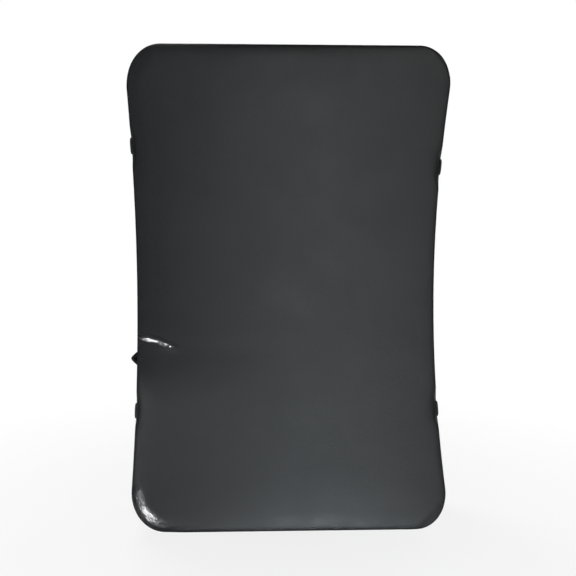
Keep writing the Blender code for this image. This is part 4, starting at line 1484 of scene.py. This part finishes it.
make_strike_face()
make_back_panel("back_panel_upper", 1)
make_back_panel("back_panel_lower", -1)
make_side_wall("side_wall_upper", 1)
make_side_wall("side_wall_lower", -1)
for eyelet_side, eyelet_x in (("left", -1), ("right", 1)):
    for eyelet_level, eyelet_z in (("upper", 1), ("lower", -1)):
        make_eyelet(f"vent_eyelet_{eyelet_side}_{eyelet_level}", eyelet_x, eyelet_z)
make_piping("piping_front", SEAM_DEPTH)
make_piping("piping_back", BACK_SEAM_DEPTH)
sewn = []
make_straps(sewn)
make_grips(sewn)
make_zip()
sew_zip(sewn)
make_hanging_loop(sewn)
piece("cover_stitches", grains_mesh(sewn), THREAD)
finish_frame_parts()


# ---------------------------------------------------------------- stage

CAMERA_PLACE = (-0.0541, -0.7565, -0.0021)
CAMERA_YAW, CAMERA_PITCH, CAMERA_ROLL = 1.26, -2.18, -0.16
CAMERA_LENS = 31.06
CAMERA_SHIFT = (0.0536, 0.0434)


def make_camera():
    """Camera a short way in front of the hollow face, a little to its left."""
    data = bpy.data.cameras.new("camera")
    data.lens = CAMERA_LENS
    data.sensor_width = 36.0
    data.shift_x, data.shift_y = CAMERA_SHIFT
    camera = bpy.data.objects.new("camera", data)
    turn = Matrix.Rotation(-math.radians(CAMERA_YAW), 4, "Z")
    tilt = Matrix.Rotation(math.radians(90 + CAMERA_PITCH), 4, "X")
    roll = Matrix.Rotation(math.radians(CAMERA_ROLL), 4, "Z")
    camera.matrix_world = Matrix.Translation(CAMERA_PLACE) @ turn @ tilt @ roll
    bpy.context.scene.collection.objects.link(camera)
    bpy.context.scene.camera = camera


def make_floor():
    """Pale floor at the lowest point of the shield, fading into the white surround."""
    bpy.ops.mesh.primitive_plane_add(size=12, location=(0, 0, CAD_BOX[0][2] - 0.001))
    floor = bpy.context.object
    floor.name = "floor"
    made, tree, shader = make_material("floor_paint", (0.80, 0.80, 0.80), 0.9)
    shade = noise_node(tree, object_place(tree), 40.0, detail=3.0)
    tree.links.new(remap(tree, shade, 0.3, 0.7, 0.85, 0.95), shader.inputs["Roughness"])
    white = add(tree, "ShaderNodeEmission")
    reach = add(tree, "ShaderNodeVectorMath", operation="LENGTH")
    tree.links.new(object_place(tree), reach.inputs[0])
    fade = remap(tree, reach.outputs["Value"], 0.05, 0.75, 0.80, 1.0)
    seen = calculate(tree, "MULTIPLY", fade, add(tree, "ShaderNodeLightPath").outputs["Is Camera Ray"])
    choice = add(tree, "ShaderNodeMixShader")
    tree.links.new(seen, choice.inputs[0])
    tree.links.new(shader.outputs[0], choice.inputs[1])
    tree.links.new(white.outputs[0], choice.inputs[2])
    tree.links.new(choice.outputs[0], tree.nodes["Material Output"].inputs["Surface"])
    floor.data.materials.append(made)


SURROUND = 0.01
LIGHTS = (  # name, place, aimed at, size, watts, colour
    ("front_low", (0.20, -1.60, -0.28), (0.0, -0.10, 0.10), 0.5, 4.4, (1.0, 1.0, 0.98)),
    ("front_right", (1.10, -1.50, 0.30), (0.0, -0.10, 0.0), 0.9, 4.0, (1.0, 1.0, 0.98)),
    ("left", (-1.20, -1.20, 0.20), (0.0, -0.10, 0.0), 0.9, 1.2, (0.90, 0.95, 1.0)),
    ("foot", (0.10, -0.62, -0.285), (0.0, -0.14, -0.27), 0.25, 2.2, (0.84, 0.94, 1.0)),
    ("back_high", (-0.9, 1.5, 1.3), (0, 0, 0), 1.3, 38.0, (1.0, 0.99, 0.97)),
    ("back_low", (1.2, 1.3, 0.2), (0, 0, -0.05), 0.9, 16.0, (0.96, 0.98, 1.0)),
)
SPOTS = (  # name, place, aimed at, radius, watts, cone in degrees; they only make highlights
    ("crease_spot", (-0.242, -0.52, 1.267), (-0.172, -0.10, -0.067), 0.11, 330.0, 4.0),
    ("corner_spot", (-0.560, -0.790, -0.270), (-0.1795, -0.149, -0.275), 0.16, 160.0, 5.5),
)


def place_light(name, kind, place, aim, watts):
    """A light that the camera does not see, turned towards a point."""
    data = bpy.data.lights.new(name, kind)
    data.energy = watts
    light = bpy.data.objects.new(name, data)
    light.location = place
    light.rotation_euler = (Vector(aim) - Vector(place)).to_track_quat("-Z", "Y").to_euler()
    light.visible_camera = False
    bpy.context.scene.collection.objects.link(light)
    return light


def make_lights():
    """Soft studio light round the shield, narrow lights for the glossy spots, and a white surround."""
    for name, place, aim, size, watts, colour in LIGHTS:
        light = place_light(name, "AREA", place, aim, watts)
        light.data.shape = "DISK"
        light.data.size = size
        light.data.color = colour
    for name, place, aim, radius, watts, cone in SPOTS:
        light = place_light(name, "SPOT", place, aim, watts)
        light.data.shadow_soft_size = radius
        light.data.spot_size = math.radians(cone)
        light.data.spot_blend = 0.8
        light.visible_diffuse = False
    world = bpy.data.worlds.new("surround")
    world.use_nodes = True
    tree = world.node_tree
    background = tree.nodes["Background"]
    background.inputs["Strength"].default_value = SURROUND
    shown = add(tree, "ShaderNodeBackground")
    set_inputs(shown, Color=(1, 1, 1, 1), Strength=1.0)
    rays = add(tree, "ShaderNodeLightPath")
    choice = add(tree, "ShaderNodeMixShader")
    tree.links.new(rays.outputs["Is Camera Ray"], choice.inputs[0])
    tree.links.new(background.outputs[0], choice.inputs[1])
    tree.links.new(shown.outputs[0], choice.inputs[2])
    tree.links.new(choice.outputs[0], tree.nodes["World Output"].inputs["Surface"])
    bpy.context.scene.world = world
    bpy.context.scene.view_settings.view_transform = "Standard"


make_camera()
make_floor()
make_lights()
